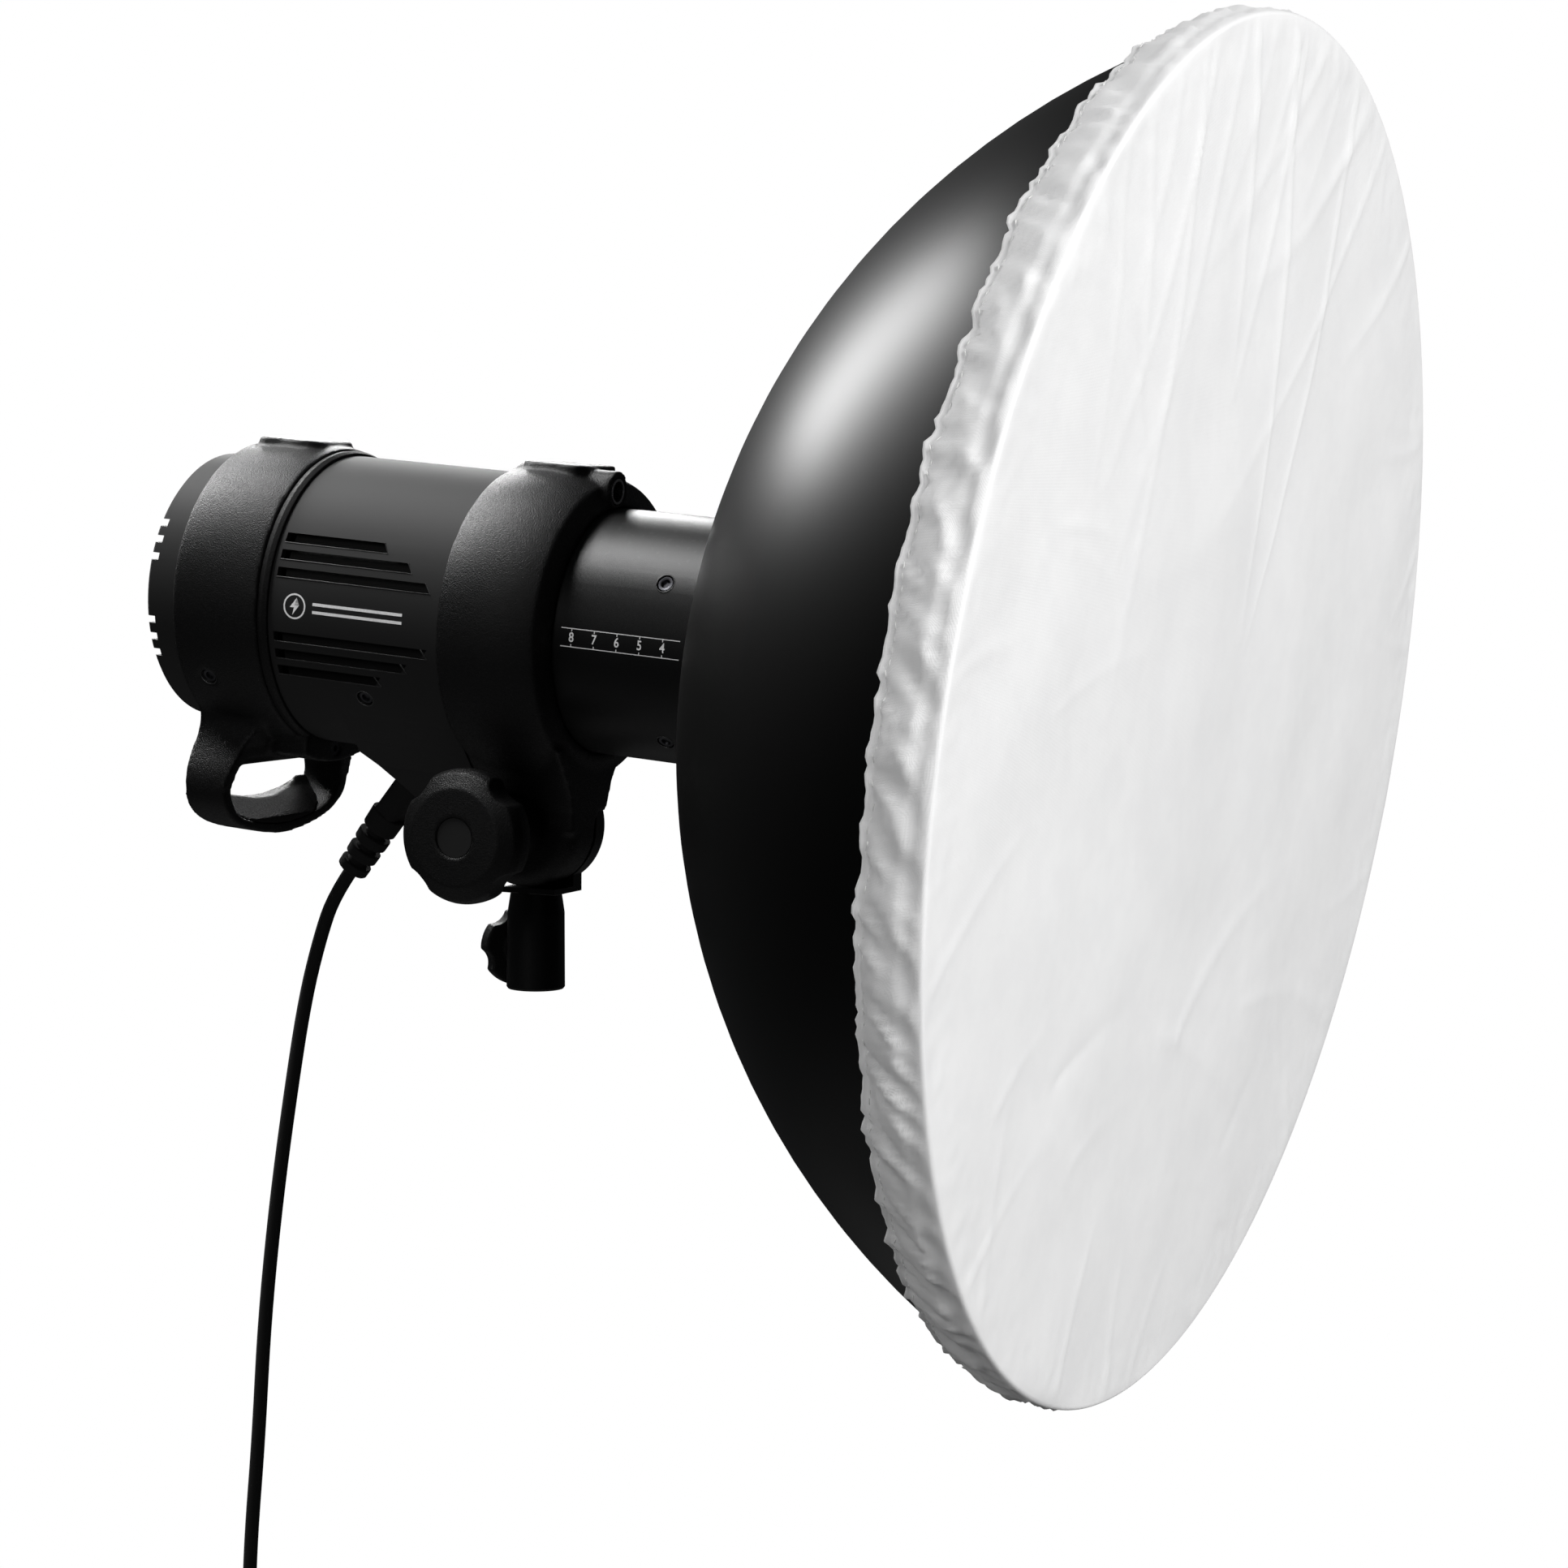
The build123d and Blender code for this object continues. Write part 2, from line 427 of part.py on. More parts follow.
def internals():
    """Fan, boards, capacitors, lamp and flash tube."""
    liner = ring(BODY_BACK + 3, BODY_FRONT - 3, 53.2, 54.2) - block(-24, 24, -100, 0, 0, 45)
    keep("vent_liner", liner)
    chassis = block(-42, 42, -134, -40, AXIS_H - 30, AXIS_H - 28)
    keep("chassis_plate", chassis)
    keep("capacitor_bank", [forward_rod(x, AXIS_H + w, -112, -42, 15.4)
                            for x in (-16.5, 16.5) for w in (-12.2, 19.4)])
    board = block(-40, 40, -134, -116, AXIS_H - 27.8, AXIS_H + 30)
    keep("main_board", board & ring(-140, -110, 0, 50))
    frame = block(-36, 36, -38, -23, AXIS_H - 36, AXIS_H + 36) - ring(-40, -20, 0, 33.5)
    for i in range(3):
        arm = Pos(0, 25.0, AXIS_H) * Rot(0, 30 + 120 * i, 0) * Box(72, 3.0, 5.0)
        frame += (arm & ring(-40, -20, 12, 35))
    frame += ring(-26.5, -23.0, 0, 14.0)
    keep("fan_frame", frame)
    rotor = ring(-37, -27.5, 0, 14.5)
    for i in range(7):
        blade = Pos(22.5, 32.2, 0) * Rot(38, 0, 0) * Box(19, 1.4, 10.5)
        rotor += Pos(0, 0, AXIS_H) * Rot(0, 360 / 7 * i, 0) * blade
    keep("fan_rotor", rotor & ring(-37.4, -27.2, 0, 32.5))

    tube = ring(TUBE_BACK, TUBE_FRONT, TUBE_R - TUBE_WALL, TUBE_R)
    tube += ring(TUBE_BACK, TUBE_BACK + 3, TUBE_R - TUBE_WALL, 54.2)
    tube -= forward_rod(UMBRELLA_X, AXIS_H + UMBRELLA_W, TUBE_BACK - 1, 0, UMBRELLA_R + 1.6)
    for u, angle in TUBE_SCREWS:
        tube -= both_sides(lambda: side_shank(u, angle, TUBE_R, 1.9, 4.0))
        tube -= both_sides(lambda: side_sink(u, angle, TUBE_R, 3.5, 1.4))
    keep("front_tube", tube)
    plate = ring(30.0, 31.6, 13.4, TUBE_R - TUBE_WALL - 0.2)
    for x in (-30, 30):
        plate -= forward_rod(x, AXIS_H, 25, 35, 4.4)
    keep("reflector_plate", plate)
    keep("lamp_socket", ring(6, 34, 0, 13.2))
    lamp = turned([(34.1, 0), (34.1, 6), (44, 9), (52, 14), (66, 14), (76, 9), (79, 0)])
    keep("modelling_lamp", lamp)
    hoop = Pos(0, -62, AXIS_H) * revolve(Pos(30, 0) * Circle(4), Axis.Y)
    keep("flash_tube", [hoop] + [forward_rod(x, AXIS_H, 26, 57.9, 3.4) for x in (-30, 30)])
    glass = turned([(146.2, 0), (146.2, TUBE_R - 0.2), (147.6, TUBE_R - 0.2), (149.0, 44), (150.4, 22), (150.8, 0)])
    keep("glass_cover", glass)


def side_screws():
    """Two groups of socket-head screws: in the casings and in the tube."""
    found = []
    for u, angle, surface in SCREW_STATIONS:
        screw = side_screw(u, angle, surface, depth=4.8, sink=0.7, tall=1.2)
        found += [screw, mirror(screw, Plane.YZ)]
    keep("casing_screws", found)
    found = []
    for u, angle in TUBE_SCREWS:
        screw = side_screw(u, angle, TUBE_R, radius=3.3, depth=5.0, sink=0.15, tall=1.2)
        found += [screw, mirror(screw, Plane.YZ)]
    keep("tube_screws", found)


# ---- bowl reflector and its cloth -----------------------------------------------------
def bowl_station(radius, sphere=BOWL_R):
    """Forward station of the bowl's surface at a radius from its axis."""
    return BOWL_CENTRE - math.sqrt(sphere ** 2 - radius ** 2)


def reflector():
    """Spun bowl with a rolled rim, the collar that grips the tube, deflector and rods."""
    inner = BOWL_R - BOWL_WALL
    flat, edge = 70.0, 257.0
    middle = 180.0
    back = bowl_station(flat)
    shell = turned_edges(
        Line((55.6, -back), (flat, -back)),
        ThreePointArc((flat, -back), (middle, -bowl_station(middle)), (edge, -bowl_station(edge))),
        Line((edge, -bowl_station(edge)), (edge - 1.6, -bowl_station(edge) - 0.2)),
        ThreePointArc((edge - 1.6, -bowl_station(edge) - 0.2), (middle, -bowl_station(middle, inner)),
                      (flat, -back - BOWL_WALL)),
        Line((flat, -back - BOWL_WALL), (55.6, -back - BOWL_WALL)),
        Line((55.6, -back - BOWL_WALL), (55.6, -back)))
    bead = Pos(0, -(SOCK_FRONT - 0.9 - RIM_BEAD), AXIS_H) * Rot(90, 0, 0) * Torus(RIM_R - RIM_BEAD, RIM_BEAD)
    shell += bead
    for i in range(6):
        a = math.radians(60 * i + 30)
        shell -= forward_rod(62.5 * math.cos(a), AXIS_H + 62.5 * math.sin(a), back - 3, back + 3, 2.0)
    keep("dish_shell", shell, "bowl")

    flange = ring(back - 2.0, back, 55.6, 68.0)
    rivets = []
    for i in range(6):
        a = math.radians(60 * i + 30)
        x, w = 62.5 * math.cos(a), AXIS_H + 62.5 * math.sin(a)
        flange -= forward_rod(x, w, back - 5, back + 1, 2.0)
        rivets.append(forward_rod(x, w, back - 3.2, back - 2.05, 3.6) + forward_rod(x, w, back - 2.2, back + 3.2, 1.95)
                      + forward_rod(x, w, back + 1.55, back + 3.2, 3.2))
    keep("collar_flange", flange, "bowl")
    keep("flange_rivets", rivets, "bowl")

    bore = forward_rod(0, AXIS_H, 60, 180, COLLAR_BORE)
    grip = turned([(back - 2.0, 40), (back - 2.0, 55.4), (back + 34.0, 54.2), (back + 36.0, 53.0), (back + 36.0, 40)])
    keep("rubber_collar", lean(grip) - bore)

    outline = [(DEFLECTOR_U - r ** 2 / (2 * DEFLECTOR_CROWN), r) for r in range(0, 79, 13)]
    plate = turned(outline + [(u - 1.2, r) for u, r in reversed(outline)])
    keep("deflector_disc", plate, "bowl")
    rods = []
    for angle in (237.0, 117.0, -3.0):
        c, s = math.cos(math.radians(angle)), math.sin(math.radians(angle))
        foot = bowl_station(96.0, inner) + 0.6
        behind = DEFLECTOR_U - 74.0 ** 2 / (2 * DEFLECTOR_CROWN) - 1.6
        bar = rod((96.0 * c, -foot, AXIS_H + 96.0 * s), (74.0 * c, 0.6 - behind, AXIS_H + 74.0 * s), 2.0)
        rods.append(bar + forward_rod(74.0 * c, AXIS_H + 74.0 * s, behind - 2.0, behind, 4.5))
    keep("deflector_rods", rods, "bowl")

    front, rim, tail = SOCK_FRONT, SOCK_R, SOCK_R - 7.0
    back_edge = SOCK_FRONT - SOCK_BAND
    t = SOCK_CLOTH
    sock = turned([(front, 0), (front, rim - 1.0), (front - 1.2, rim), (front - 6.0, rim), (back_edge, tail),
                   (back_edge, tail - t), (front - 6.0 + 0.2, rim - t), (front - 1.5, rim - t),
                   (front - t, rim - 1.4), (front - t, 0)])
    keep("diffuser_sock", sock, "bowl")


# ---- mains lead -----------------------------------------------------------------------
# (across, back, up) of the lead from the strain relief to the top of its coil
LEAD = [(0, 88.7, 44.0), (0, 97.9, 31.8), (0, 104.6, 14.5), (0, 112.2, -12.0), (0, 119.4, -51.5),
        (0, 127.2, -101.0), (0, 133.4, -154.5), (0, 136.6, -207.0), (0, 140.6, -250.0), (0, 142.0, -284.0),
        (0, 161.6, -304.4), (0, 196.0, -304.4)]
COIL_TURNS_WIDE = 4
COIL_PITCH = 6.2
COIL_R = 45.3             # middle of the outermost turn
COIL_Y, COIL_Z = 196.0, -349.7
TAIL = [(18.6, 241.3, -349.7), (18.6, 241.9, -368.0), (18.6, 244.0, -386.0)]
RELIEF_LENGTH = 28.0


def tube_along(points, name):
    """Round tube along straight runs joined by arcs as large as their runs allow."""
    radii = []
    for before, corner, after in zip(points, points[1:], points[2:]):
        a, b = Vector(*corner) - Vector(*before), Vector(*after) - Vector(*corner)
        turn = math.radians(a.get_angle(b))
        radii.append(0.45 * min(a.length, b.length) / math.tan(turn / 2))
    path = FilletPolyline(*points, radius=radii)
    section = Plane(origin=path @ 0, z_dir=path % 0) * Circle(CORD_D / 2)
    tube = sweep(section, path=path)
    print(name, "radii", [round(r, 1) for r in radii], "length", round(path.length, 1),
          "volume ratio", round(tube.volume / (math.pi * CORD_D ** 2 / 4 * path.length), 4))
    return tube


def mains_lead():
    """Strain relief, hanging lead, its coil and tie, and the plug."""
    start, after = Vector(*LEAD[0]), Vector(*LEAD[1])
    out = (after - start).normalized()
    root = start - out * RELIEF_LENGTH
    relief = Plane(origin=root, z_dir=out) * Pos(0, 0, -2.4) * Cone(7.7, 6.7, RELIEF_LENGTH + 2.4,
                                                                    align=(Align.CENTER, Align.CENTER, Align.MIN))
    for i in range(3):
        slot = Plane(origin=root + out * (6.0 + 7.5 * i), z_dir=out)
        relief -= extrude(slot * (Circle(9) - Circle(4.3)), 3.0)
    keep("strain_relief", relief, "row")
    keep("power_cord", tube_along(LEAD, "power_cord"), "row")

    wide = COIL_TURNS_WIDE * COIL_PITCH
    layers = Pos(0, COIL_R - 1.5 * COIL_PITCH) * Rectangle(wide, 4 * COIL_PITCH)
    layers = fillet(layers.vertices(), 2.4)
    coil = revolve(Pos((wide - COIL_PITCH) / 2, 0) * layers, Axis.X)
    keep("cord_coil", Pos(0, COIL_Y, COIL_Z) * coil, "row")
    mid = COIL_R - 1.5 * COIL_PITCH
    centre = ((wide - COIL_PITCH) / 2, COIL_Y, COIL_Z + mid)
    tie = Pos(*centre) * (Box(wide + 2.6, 16.0, wide + 2.6) - Box(wide + 0.2, 20.0, wide + 0.2))
    keep("coil_tie", tie, "row")
    keep("cord_tail", tube_along(TAIL, "cord_tail"), "row")
    top = Vector(*TAIL[-1])
    down = (top - Vector(*TAIL[-2])).normalized()
    plug = Plane(origin=top, z_dir=down)
    body = plug * Cone(5.0, 7.5, 14.0, align=(Align.CENTER, Align.CENTER, Align.MIN))
    body += plug * Pos(0, 0, 13.9) * Cone(10.0, 17.5, 12.0, align=(Align.CENTER, Align.CENTER, Align.MIN))
    body += plug * Pos(0, 0, 25.8) * Cylinder(18.4, 12.0, align=(Align.CENTER, Align.CENTER, Align.MIN))
    keep("mains_plug", body, "row")
    pins = [plug * Pos(0, x, 37.8) * Cylinder(2.4, 19.0, align=(Align.CENTER, Align.CENTER, Align.MIN))
            for x in (-9.5, 9.5)]
    keep("plug_pins", pins, "row")


def main():
    """Build every piece and write one STEP file for each."""
    stand_bracket()
    tilt_knob()
    main_housing()
    front_bumper()
    rear_bumper()
    rear_end()
    power_inlet()
    internals()
    side_screws()
    reflector()
    mains_lead()
    for name, shape in made.items():
        export_step(shape, f"parts/{name}.step")
    print(len(made), "pieces")


main()
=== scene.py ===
"""Monolight strobe with a bowl reflector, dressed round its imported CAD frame.

The frame gives the bodies, the joint axes and the CAD pieces. This file adds the looks: moulded casings
with rounded edges, powder coat, a gathered cloth diffuser, the mains lead with its coil, and the light.
Row-frame lengths are metres. Lengths in head terms (across, ahead, above the tilt pivot) are millimetres.
"""
import json
import logging
import math
import random
from dataclasses import dataclass
from enum import Enum
from typing import Iterable, Sequence

import bmesh
import bpy
import numpy as np
from mathutils import Matrix, Vector, noise


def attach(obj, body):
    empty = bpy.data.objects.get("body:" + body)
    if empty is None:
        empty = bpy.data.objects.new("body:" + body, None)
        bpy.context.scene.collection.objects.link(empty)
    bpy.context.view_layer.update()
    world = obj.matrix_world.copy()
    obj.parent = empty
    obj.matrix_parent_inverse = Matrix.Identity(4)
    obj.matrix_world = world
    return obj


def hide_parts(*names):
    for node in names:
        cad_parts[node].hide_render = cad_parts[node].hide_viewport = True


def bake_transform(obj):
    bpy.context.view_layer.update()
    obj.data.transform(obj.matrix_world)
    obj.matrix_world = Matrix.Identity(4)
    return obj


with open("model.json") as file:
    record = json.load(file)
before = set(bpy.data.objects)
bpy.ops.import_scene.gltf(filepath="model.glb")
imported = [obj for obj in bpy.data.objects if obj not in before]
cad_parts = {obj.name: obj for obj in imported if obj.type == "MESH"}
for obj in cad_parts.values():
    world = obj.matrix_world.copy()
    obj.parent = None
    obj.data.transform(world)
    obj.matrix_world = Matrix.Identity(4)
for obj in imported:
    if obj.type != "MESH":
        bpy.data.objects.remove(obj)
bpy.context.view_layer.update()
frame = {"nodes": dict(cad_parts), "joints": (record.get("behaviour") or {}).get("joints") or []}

MM = 0.001
LOG = logging.getLogger("monolight")
logging.basicConfig(level=logging.INFO, format="%(message)s")

Colour = tuple[float, float, float]


# ---- places ------------------------------------------------------------------------------
@dataclass(frozen=True)
class Station:
    """Axes of a tilted sub-assembly, for points in millimetres across, ahead and above."""

    origin: Vector
    ahead: Vector

    @property
    def above(self) -> Vector:
        """Direction square to the optical axis, pointing up."""
        return Vector((0.0, self.ahead.z, -self.ahead.y))

    def at(self, across: float, ahead: float, above: float) -> Vector:
        """Row-frame point, in metres, of a point in head terms."""
        side = Vector((across * MM, 0.0, 0.0))
        return self.origin + side + self.ahead * (ahead * MM) + self.above * (above * MM)

    def round_axis(self, ahead: float, radius: float, degrees: float, height: float) -> Vector:
        """Point on a circle round the optical axis.

        Args:
            ahead: forward station of the circle.
            radius: its radius.
            degrees: angle from straight out on the -X side, rising.
            height: the optical axis above the pivot.

        Returns:
            The row-frame point in metres.
        """
        a = math.radians(degrees)
        return self.at(-radius * math.cos(a), ahead, height + radius * math.sin(a))


def joint(name: str) -> dict:
    """The record's entry for a joint."""
    return next(j for j in frame["joints"] if j["name"] == name)


AXIS_HEIGHT = 82.4
HEAD = Station(Vector(joint("head_tilt")["pos_m"]), Vector(joint("reflector_slide")["axis"]).normalized())


def leaned(station: Station, degrees: float, ahead: float, height: float) -> Station:
    """A station leaned nose-down about a point on the optical axis."""
    turn = Matrix.Rotation(math.radians(degrees), 3, "X")
    moved = Station(Vector(), turn @ station.ahead)
    return Station(station.at(0.0, ahead, height) - moved.at(0.0, ahead, height), moved.ahead)


BOWL = leaned(HEAD, 2.02, 83.8, AXIS_HEIGHT)


# ---- shared shader groups ----------------------------------------------------------------
class Effect(Enum):
    """Shader node groups that several finishes share."""

    GRAIN = "moulded_grain"
    EDGES = "edge_wear_and_highlight"
    WEAVE = "plain_weave"
    DUST = "settled_dust"


def open_group(effect: Effect, inputs: dict[str, str], outputs: dict[str, str]) -> tuple:
    """Start a shader node group.

    Args:
        effect: which group.
        inputs: socket name to socket type.
        outputs: socket name to socket type.

    Returns:
        The tree, its input node and its output node.
    """
    tree = bpy.data.node_groups.new(effect.value, "ShaderNodeTree")
    for name, kind in inputs.items():
        tree.interface.new_socket(name=name, in_out="INPUT", socket_type=kind)
    for name, kind in outputs.items():
        tree.interface.new_socket(name=name, in_out="OUTPUT", socket_type=kind)
    return tree, tree.nodes.new("NodeGroupInput"), tree.nodes.new("NodeGroupOutput")


def math_node(tree: bpy.types.NodeTree, operation: str, a: object, b: object = 0.0) -> object:
    """Add a Math node whose inputs are sockets or numbers, and return its output."""
    node = tree.nodes.new("ShaderNodeMath")
    node.operation = operation
    for socket, value in zip(node.inputs, (a, b)):
        if isinstance(value, (int, float)):
            socket.default_value = value
        else:
            tree.links.new(value, socket)
    return node.outputs[0]


def ramp(tree: bpy.types.NodeTree, value: object, low: float, high: float) -> object:
    """Smooth step of a socket from 0 at low to 1 at high."""
    node = tree.nodes.new("ShaderNodeMapRange")
    node.interpolation_type = "SMOOTHSTEP"
    node.inputs["From Min"].default_value = low
    node.inputs["From Max"].default_value = high
    tree.links.new(value, node.inputs["Value"])
    return node.outputs["Result"]


def noise_node(tree: bpy.types.NodeTree, vector: object, scale: object, detail: float) -> object:
    """Add a Noise texture and return its Fac output."""
    node = tree.nodes.new("ShaderNodeTexNoise")
    node.inputs["Detail"].default_value = detail
    tree.links.new(vector, node.inputs["Vector"])
    if isinstance(scale, (int, float)):
        node.inputs["Scale"].default_value = scale
    else:
        tree.links.new(scale, node.inputs["Scale"])
    return node.outputs["Fac"]


def build_grain() -> bpy.types.NodeTree:
    """Fine moulded or sprayed grain: cells with a softer unevenness under them."""
    tree, start, end = open_group(
        Effect.GRAIN, {"Vector": "NodeSocketVector", "Scale": "NodeSocketFloat"},
        {"Height": "NodeSocketFloat", "Speckle": "NodeSocketFloat", "Cloud": "NodeSocketFloat"})
    cells = tree.nodes.new("ShaderNodeTexVoronoi")
    tree.links.new(start.outputs["Vector"], cells.inputs["Vector"])
    tree.links.new(start.outputs["Scale"], cells.inputs["Scale"])
    fine = noise_node(tree, start.outputs["Vector"], start.outputs["Scale"], 3.0)
    height = math_node(tree, "MULTIPLY", cells.outputs["Distance"], 0.7)
    tree.links.new(math_node(tree, "ADD", height, fine), end.inputs["Height"])
    tree.links.new(ramp(tree, fine, 0.42, 0.62), end.inputs["Speckle"])
    tree.links.new(noise_node(tree, start.outputs["Vector"], 14.0, 4.0), end.inputs["Cloud"])
    return tree


def build_edges() -> bpy.types.NodeTree:
    """Mask of outer edges lightened by rubbed wear and by a painted edge highlight, and a normal that rounds them."""
    tree, start, end = open_group(
        Effect.EDGES, {"Vector": "NodeSocketVector"},
        {"Edge": "NodeSocketFloat", "Normal": "NodeSocketVector"})
    bevel = tree.nodes.new("ShaderNodeBevel")
    bevel.samples = 6
    bevel.inputs["Radius"].default_value = 0.0006
    flat = tree.nodes.new("ShaderNodeNewGeometry")
    dot = tree.nodes.new("ShaderNodeVectorMath")
    dot.operation = "DOT_PRODUCT"
    tree.links.new(bevel.outputs["Normal"], dot.inputs[0])
    tree.links.new(flat.outputs["Normal"], dot.inputs[1])
    bend = math_node(tree, "SUBTRACT", 1.0, dot.outputs["Value"])
    patchy = ramp(tree, noise_node(tree, start.outputs["Vector"], 160.0, 2.0), 0.35, 0.6)
    tree.links.new(math_node(tree, "MULTIPLY", ramp(tree, bend, 0.02, 0.2), patchy), end.inputs["Edge"])
    tree.links.new(bevel.outputs["Normal"], end.inputs["Normal"])
    return tree


def build_weave() -> bpy.types.NodeTree:
    """Plain weave of fine threads, from two crossing waves and a slubby noise."""
    tree, start, end = open_group(
        Effect.WEAVE, {"Vector": "NodeSocketVector", "Scale": "NodeSocketFloat"},
        {"Height": "NodeSocketFloat", "Tone": "NodeSocketFloat"})
    threads = []
    for axis in ("X", "Z"):
        wave = tree.nodes.new("ShaderNodeTexWave")
        wave.bands_direction = axis
        wave.inputs["Distortion"].default_value = 0.4
        tree.links.new(start.outputs["Vector"], wave.inputs["Vector"])
        tree.links.new(start.outputs["Scale"], wave.inputs["Scale"])
        threads.append(wave.outputs["Fac"])
    tree.links.new(math_node(tree, "MAXIMUM", *threads), end.inputs["Height"])
    slub = noise_node(tree, start.outputs["Vector"], 55.0, 5.0)
    tree.links.new(ramp(tree, slub, 0.3, 0.7), end.inputs["Tone"])
    return tree


def build_dust() -> bpy.types.NodeTree:
    """Thin dust on faces that look up."""
    tree, start, end = open_group(Effect.DUST, {"Vector": "NodeSocketVector"}, {"Mask": "NodeSocketFloat"})
    geometry = tree.nodes.new("ShaderNodeNewGeometry")
    parts = tree.nodes.new("ShaderNodeSeparateXYZ")
    tree.links.new(geometry.outputs["Normal"], parts.inputs["Vector"])
    speck = ramp(tree, noise_node(tree, start.outputs["Vector"], 420.0, 3.0), 0.58, 0.72)
    up = ramp(tree, parts.outputs["Z"], 0.35, 0.95)
    tree.links.new(math_node(tree, "MULTIPLY", speck, up), end.inputs["Mask"])
    return tree


GROUPS: dict[Effect, bpy.types.NodeTree] = {
    Effect.GRAIN: build_grain(),
    Effect.EDGES: build_edges(),
    Effect.WEAVE: build_weave(),
    Effect.DUST: build_dust(),
}


# ---- finishes ----------------------------------------------------------------------------
class MaterialSheet:
    """A material being wired: its tree, shader and object coordinates."""

    def __init__(self, name: str) -> None:
        """Make an empty Principled material."""
        self.material = bpy.data.materials.new(name)
        self.material.use_nodes = True
        self.tree = self.material.node_tree
        self.shader = self.tree.nodes["Principled BSDF"]
        self.place = self.tree.nodes.new("ShaderNodeTexCoord").outputs["Object"]

    def group(self, effect: Effect, **values: float) -> bpy.types.Node:
        """Place a shared effect and give it object coordinates and its values."""
        node = self.tree.nodes.new("ShaderNodeGroup")
        node.node_tree = GROUPS[effect]
        self.tree.links.new(self.place, node.inputs["Vector"])
        for name, value in values.items():
            node.inputs[name].default_value = value
        return node

    def mix(self, mask: object, a: object, b: object) -> object:
        """Blend two colours, each a socket or a colour, by a mask socket."""
        node = self.tree.nodes.new("ShaderNodeMix")
        node.data_type = "RGBA"
        self.tree.links.new(mask, node.inputs["Factor"])
        for socket, value in ((node.inputs[6], a), (node.inputs[7], b)):
            if isinstance(value, tuple):
                socket.default_value = (*value, 1.0)
            else:
                self.tree.links.new(value, socket)
        return node.outputs[2]

    def scaled(self, value: object, low: float, high: float) -> object:
        """Map a 0 to 1 socket onto low to high."""
        node = self.tree.nodes.new("ShaderNodeMapRange")
        node.inputs["To Min"].default_value = low
        node.inputs["To Max"].default_value = high
        self.tree.links.new(value, node.inputs["Value"])
        return node.outputs["Result"]

    def bump(self, height: object, depth: float, normal: object = None) -> object:
        """Bump node whose depth is in metres; returns its normal."""
        node = self.tree.nodes.new("ShaderNodeBump")
        node.inputs["Strength"].default_value = 1.0
        node.inputs["Distance"].default_value = depth
        self.tree.links.new(height, node.inputs["Height"])
        if normal is not None:
            self.tree.links.new(normal, node.inputs["Normal"])
        return node.outputs["Normal"]

    def feed(self, socket: str, value: object) -> None:
        """Link a value to one of the shader's sockets."""
        self.tree.links.new(value, self.shader.inputs[socket])


@dataclass(frozen=True)
class Finish:
    """An opaque finish with a fine grain, edges lightened by wear and by a painted highlight, and a little dust.

    Args:
        name: the material's name.
        colour: base colour, linear.
        tint: colour of the grain's lighter specks.
        roughness: the smoothest roughness.
        spread: how much rougher the grain's specks are.
        scale: grain cells per metre.
        relief: grain depth in metres.
        wear_and_highlight: colour that the edges show, partly rubbed wear and partly a painted edge highlight.
        metallic: 0 or 1.
        dust: whether specks of dust lie on it.
    """

    name: str
    colour: Colour
    tint: Colour
    roughness: float
    spread: float
    scale: float
    relief: float
    wear_and_highlight: Colour
    metallic: float = 0.0
    dust: bool = True

    def material(self) -> bpy.types.Material:
        """Build the material once and reuse it."""
        found = bpy.data.materials.get(self.name)
        if found is not None:
            return found
        sheet = MaterialSheet(self.name)
        grain = sheet.group(Effect.GRAIN, Scale=self.scale)
        edges = sheet.group(Effect.EDGES)
        base = sheet.mix(grain.outputs["Speckle"], self.colour, self.tint)
        # edges lightened: partly rubbed wear, partly a painted highlight along them
        base = sheet.mix(edges.outputs["Edge"], base, self.wear_and_highlight)
        if self.dust:
            dust = sheet.group(Effect.DUST)
            base = sheet.mix(dust.outputs["Mask"], base, tuple(c + 0.012 for c in self.tint))
        sheet.feed("Base Color", base)
        sheet.feed("Roughness", sheet.scaled(grain.outputs["Speckle"], self.roughness, self.roughness + self.spread))
        sheet.feed("Normal", sheet.bump(grain.outputs["Height"], self.relief, edges.outputs["Normal"]))
        sheet.shader.inputs["Metallic"].default_value = self.metallic
        return sheet.material


@dataclass(frozen=True)
class ClothFinish:
    """Thin white stretch cloth: fine weave, soft sheen and a faint painted shadow of the deflector behind it."""

    name: str
    colour: Colour
    shade: Colour
    painted_shadow: Colour

    def material(self) -> bpy.types.Material:
        """Build the cloth's material."""
        sheet = MaterialSheet(self.name)
        weave = sheet.group(Effect.WEAVE, Scale=900.0)
        behind = sheet.tree.nodes.new("ShaderNodeAttribute")
        behind.attribute_name = "behind"
        base = sheet.mix(weave.outputs["Tone"], self.colour, self.shade)
        # the behind attribute darkens the cloth towards its last colour: a painted shadow of the deflector
        sheet.feed("Base Color", sheet.mix(behind.outputs["Fac"], base, self.painted_shadow))
        sheet.feed("Roughness", sheet.scaled(weave.outputs["Tone"], 0.72, 0.85))
        sheet.feed("Normal", sheet.bump(weave.outputs["Height"], 0.00004))
        sheet.shader.inputs["Sheen Weight"].default_value = 0.25
        sheet.shader.inputs["Sheen Roughness"].default_value = 0.4
        return sheet.material


@dataclass(frozen=True)
class GlassFinish:
    """Frosted or clear glass with a slight unevenness."""

    name: str
    colour: Colour
    roughness: float

    def material(self) -> bpy.types.Material:
        """Build the glass, with plain metallic and transmission."""
        sheet = MaterialSheet(self.name)
        grain = sheet.group(Effect.GRAIN, Scale=900.0)
        sheet.feed("Roughness", sheet.scaled(grain.outputs["Speckle"], self.roughness, self.roughness + 0.1))
        sheet.feed("Normal", sheet.bump(grain.outputs["Height"], 0.00001))
        sheet.shader.inputs["Base Color"].default_value = (*self.colour, 1.0)
        sheet.shader.inputs["Transmission Weight"].default_value = 0.9
        sheet.shader.inputs["IOR"].default_value = 1.5
        return sheet.material
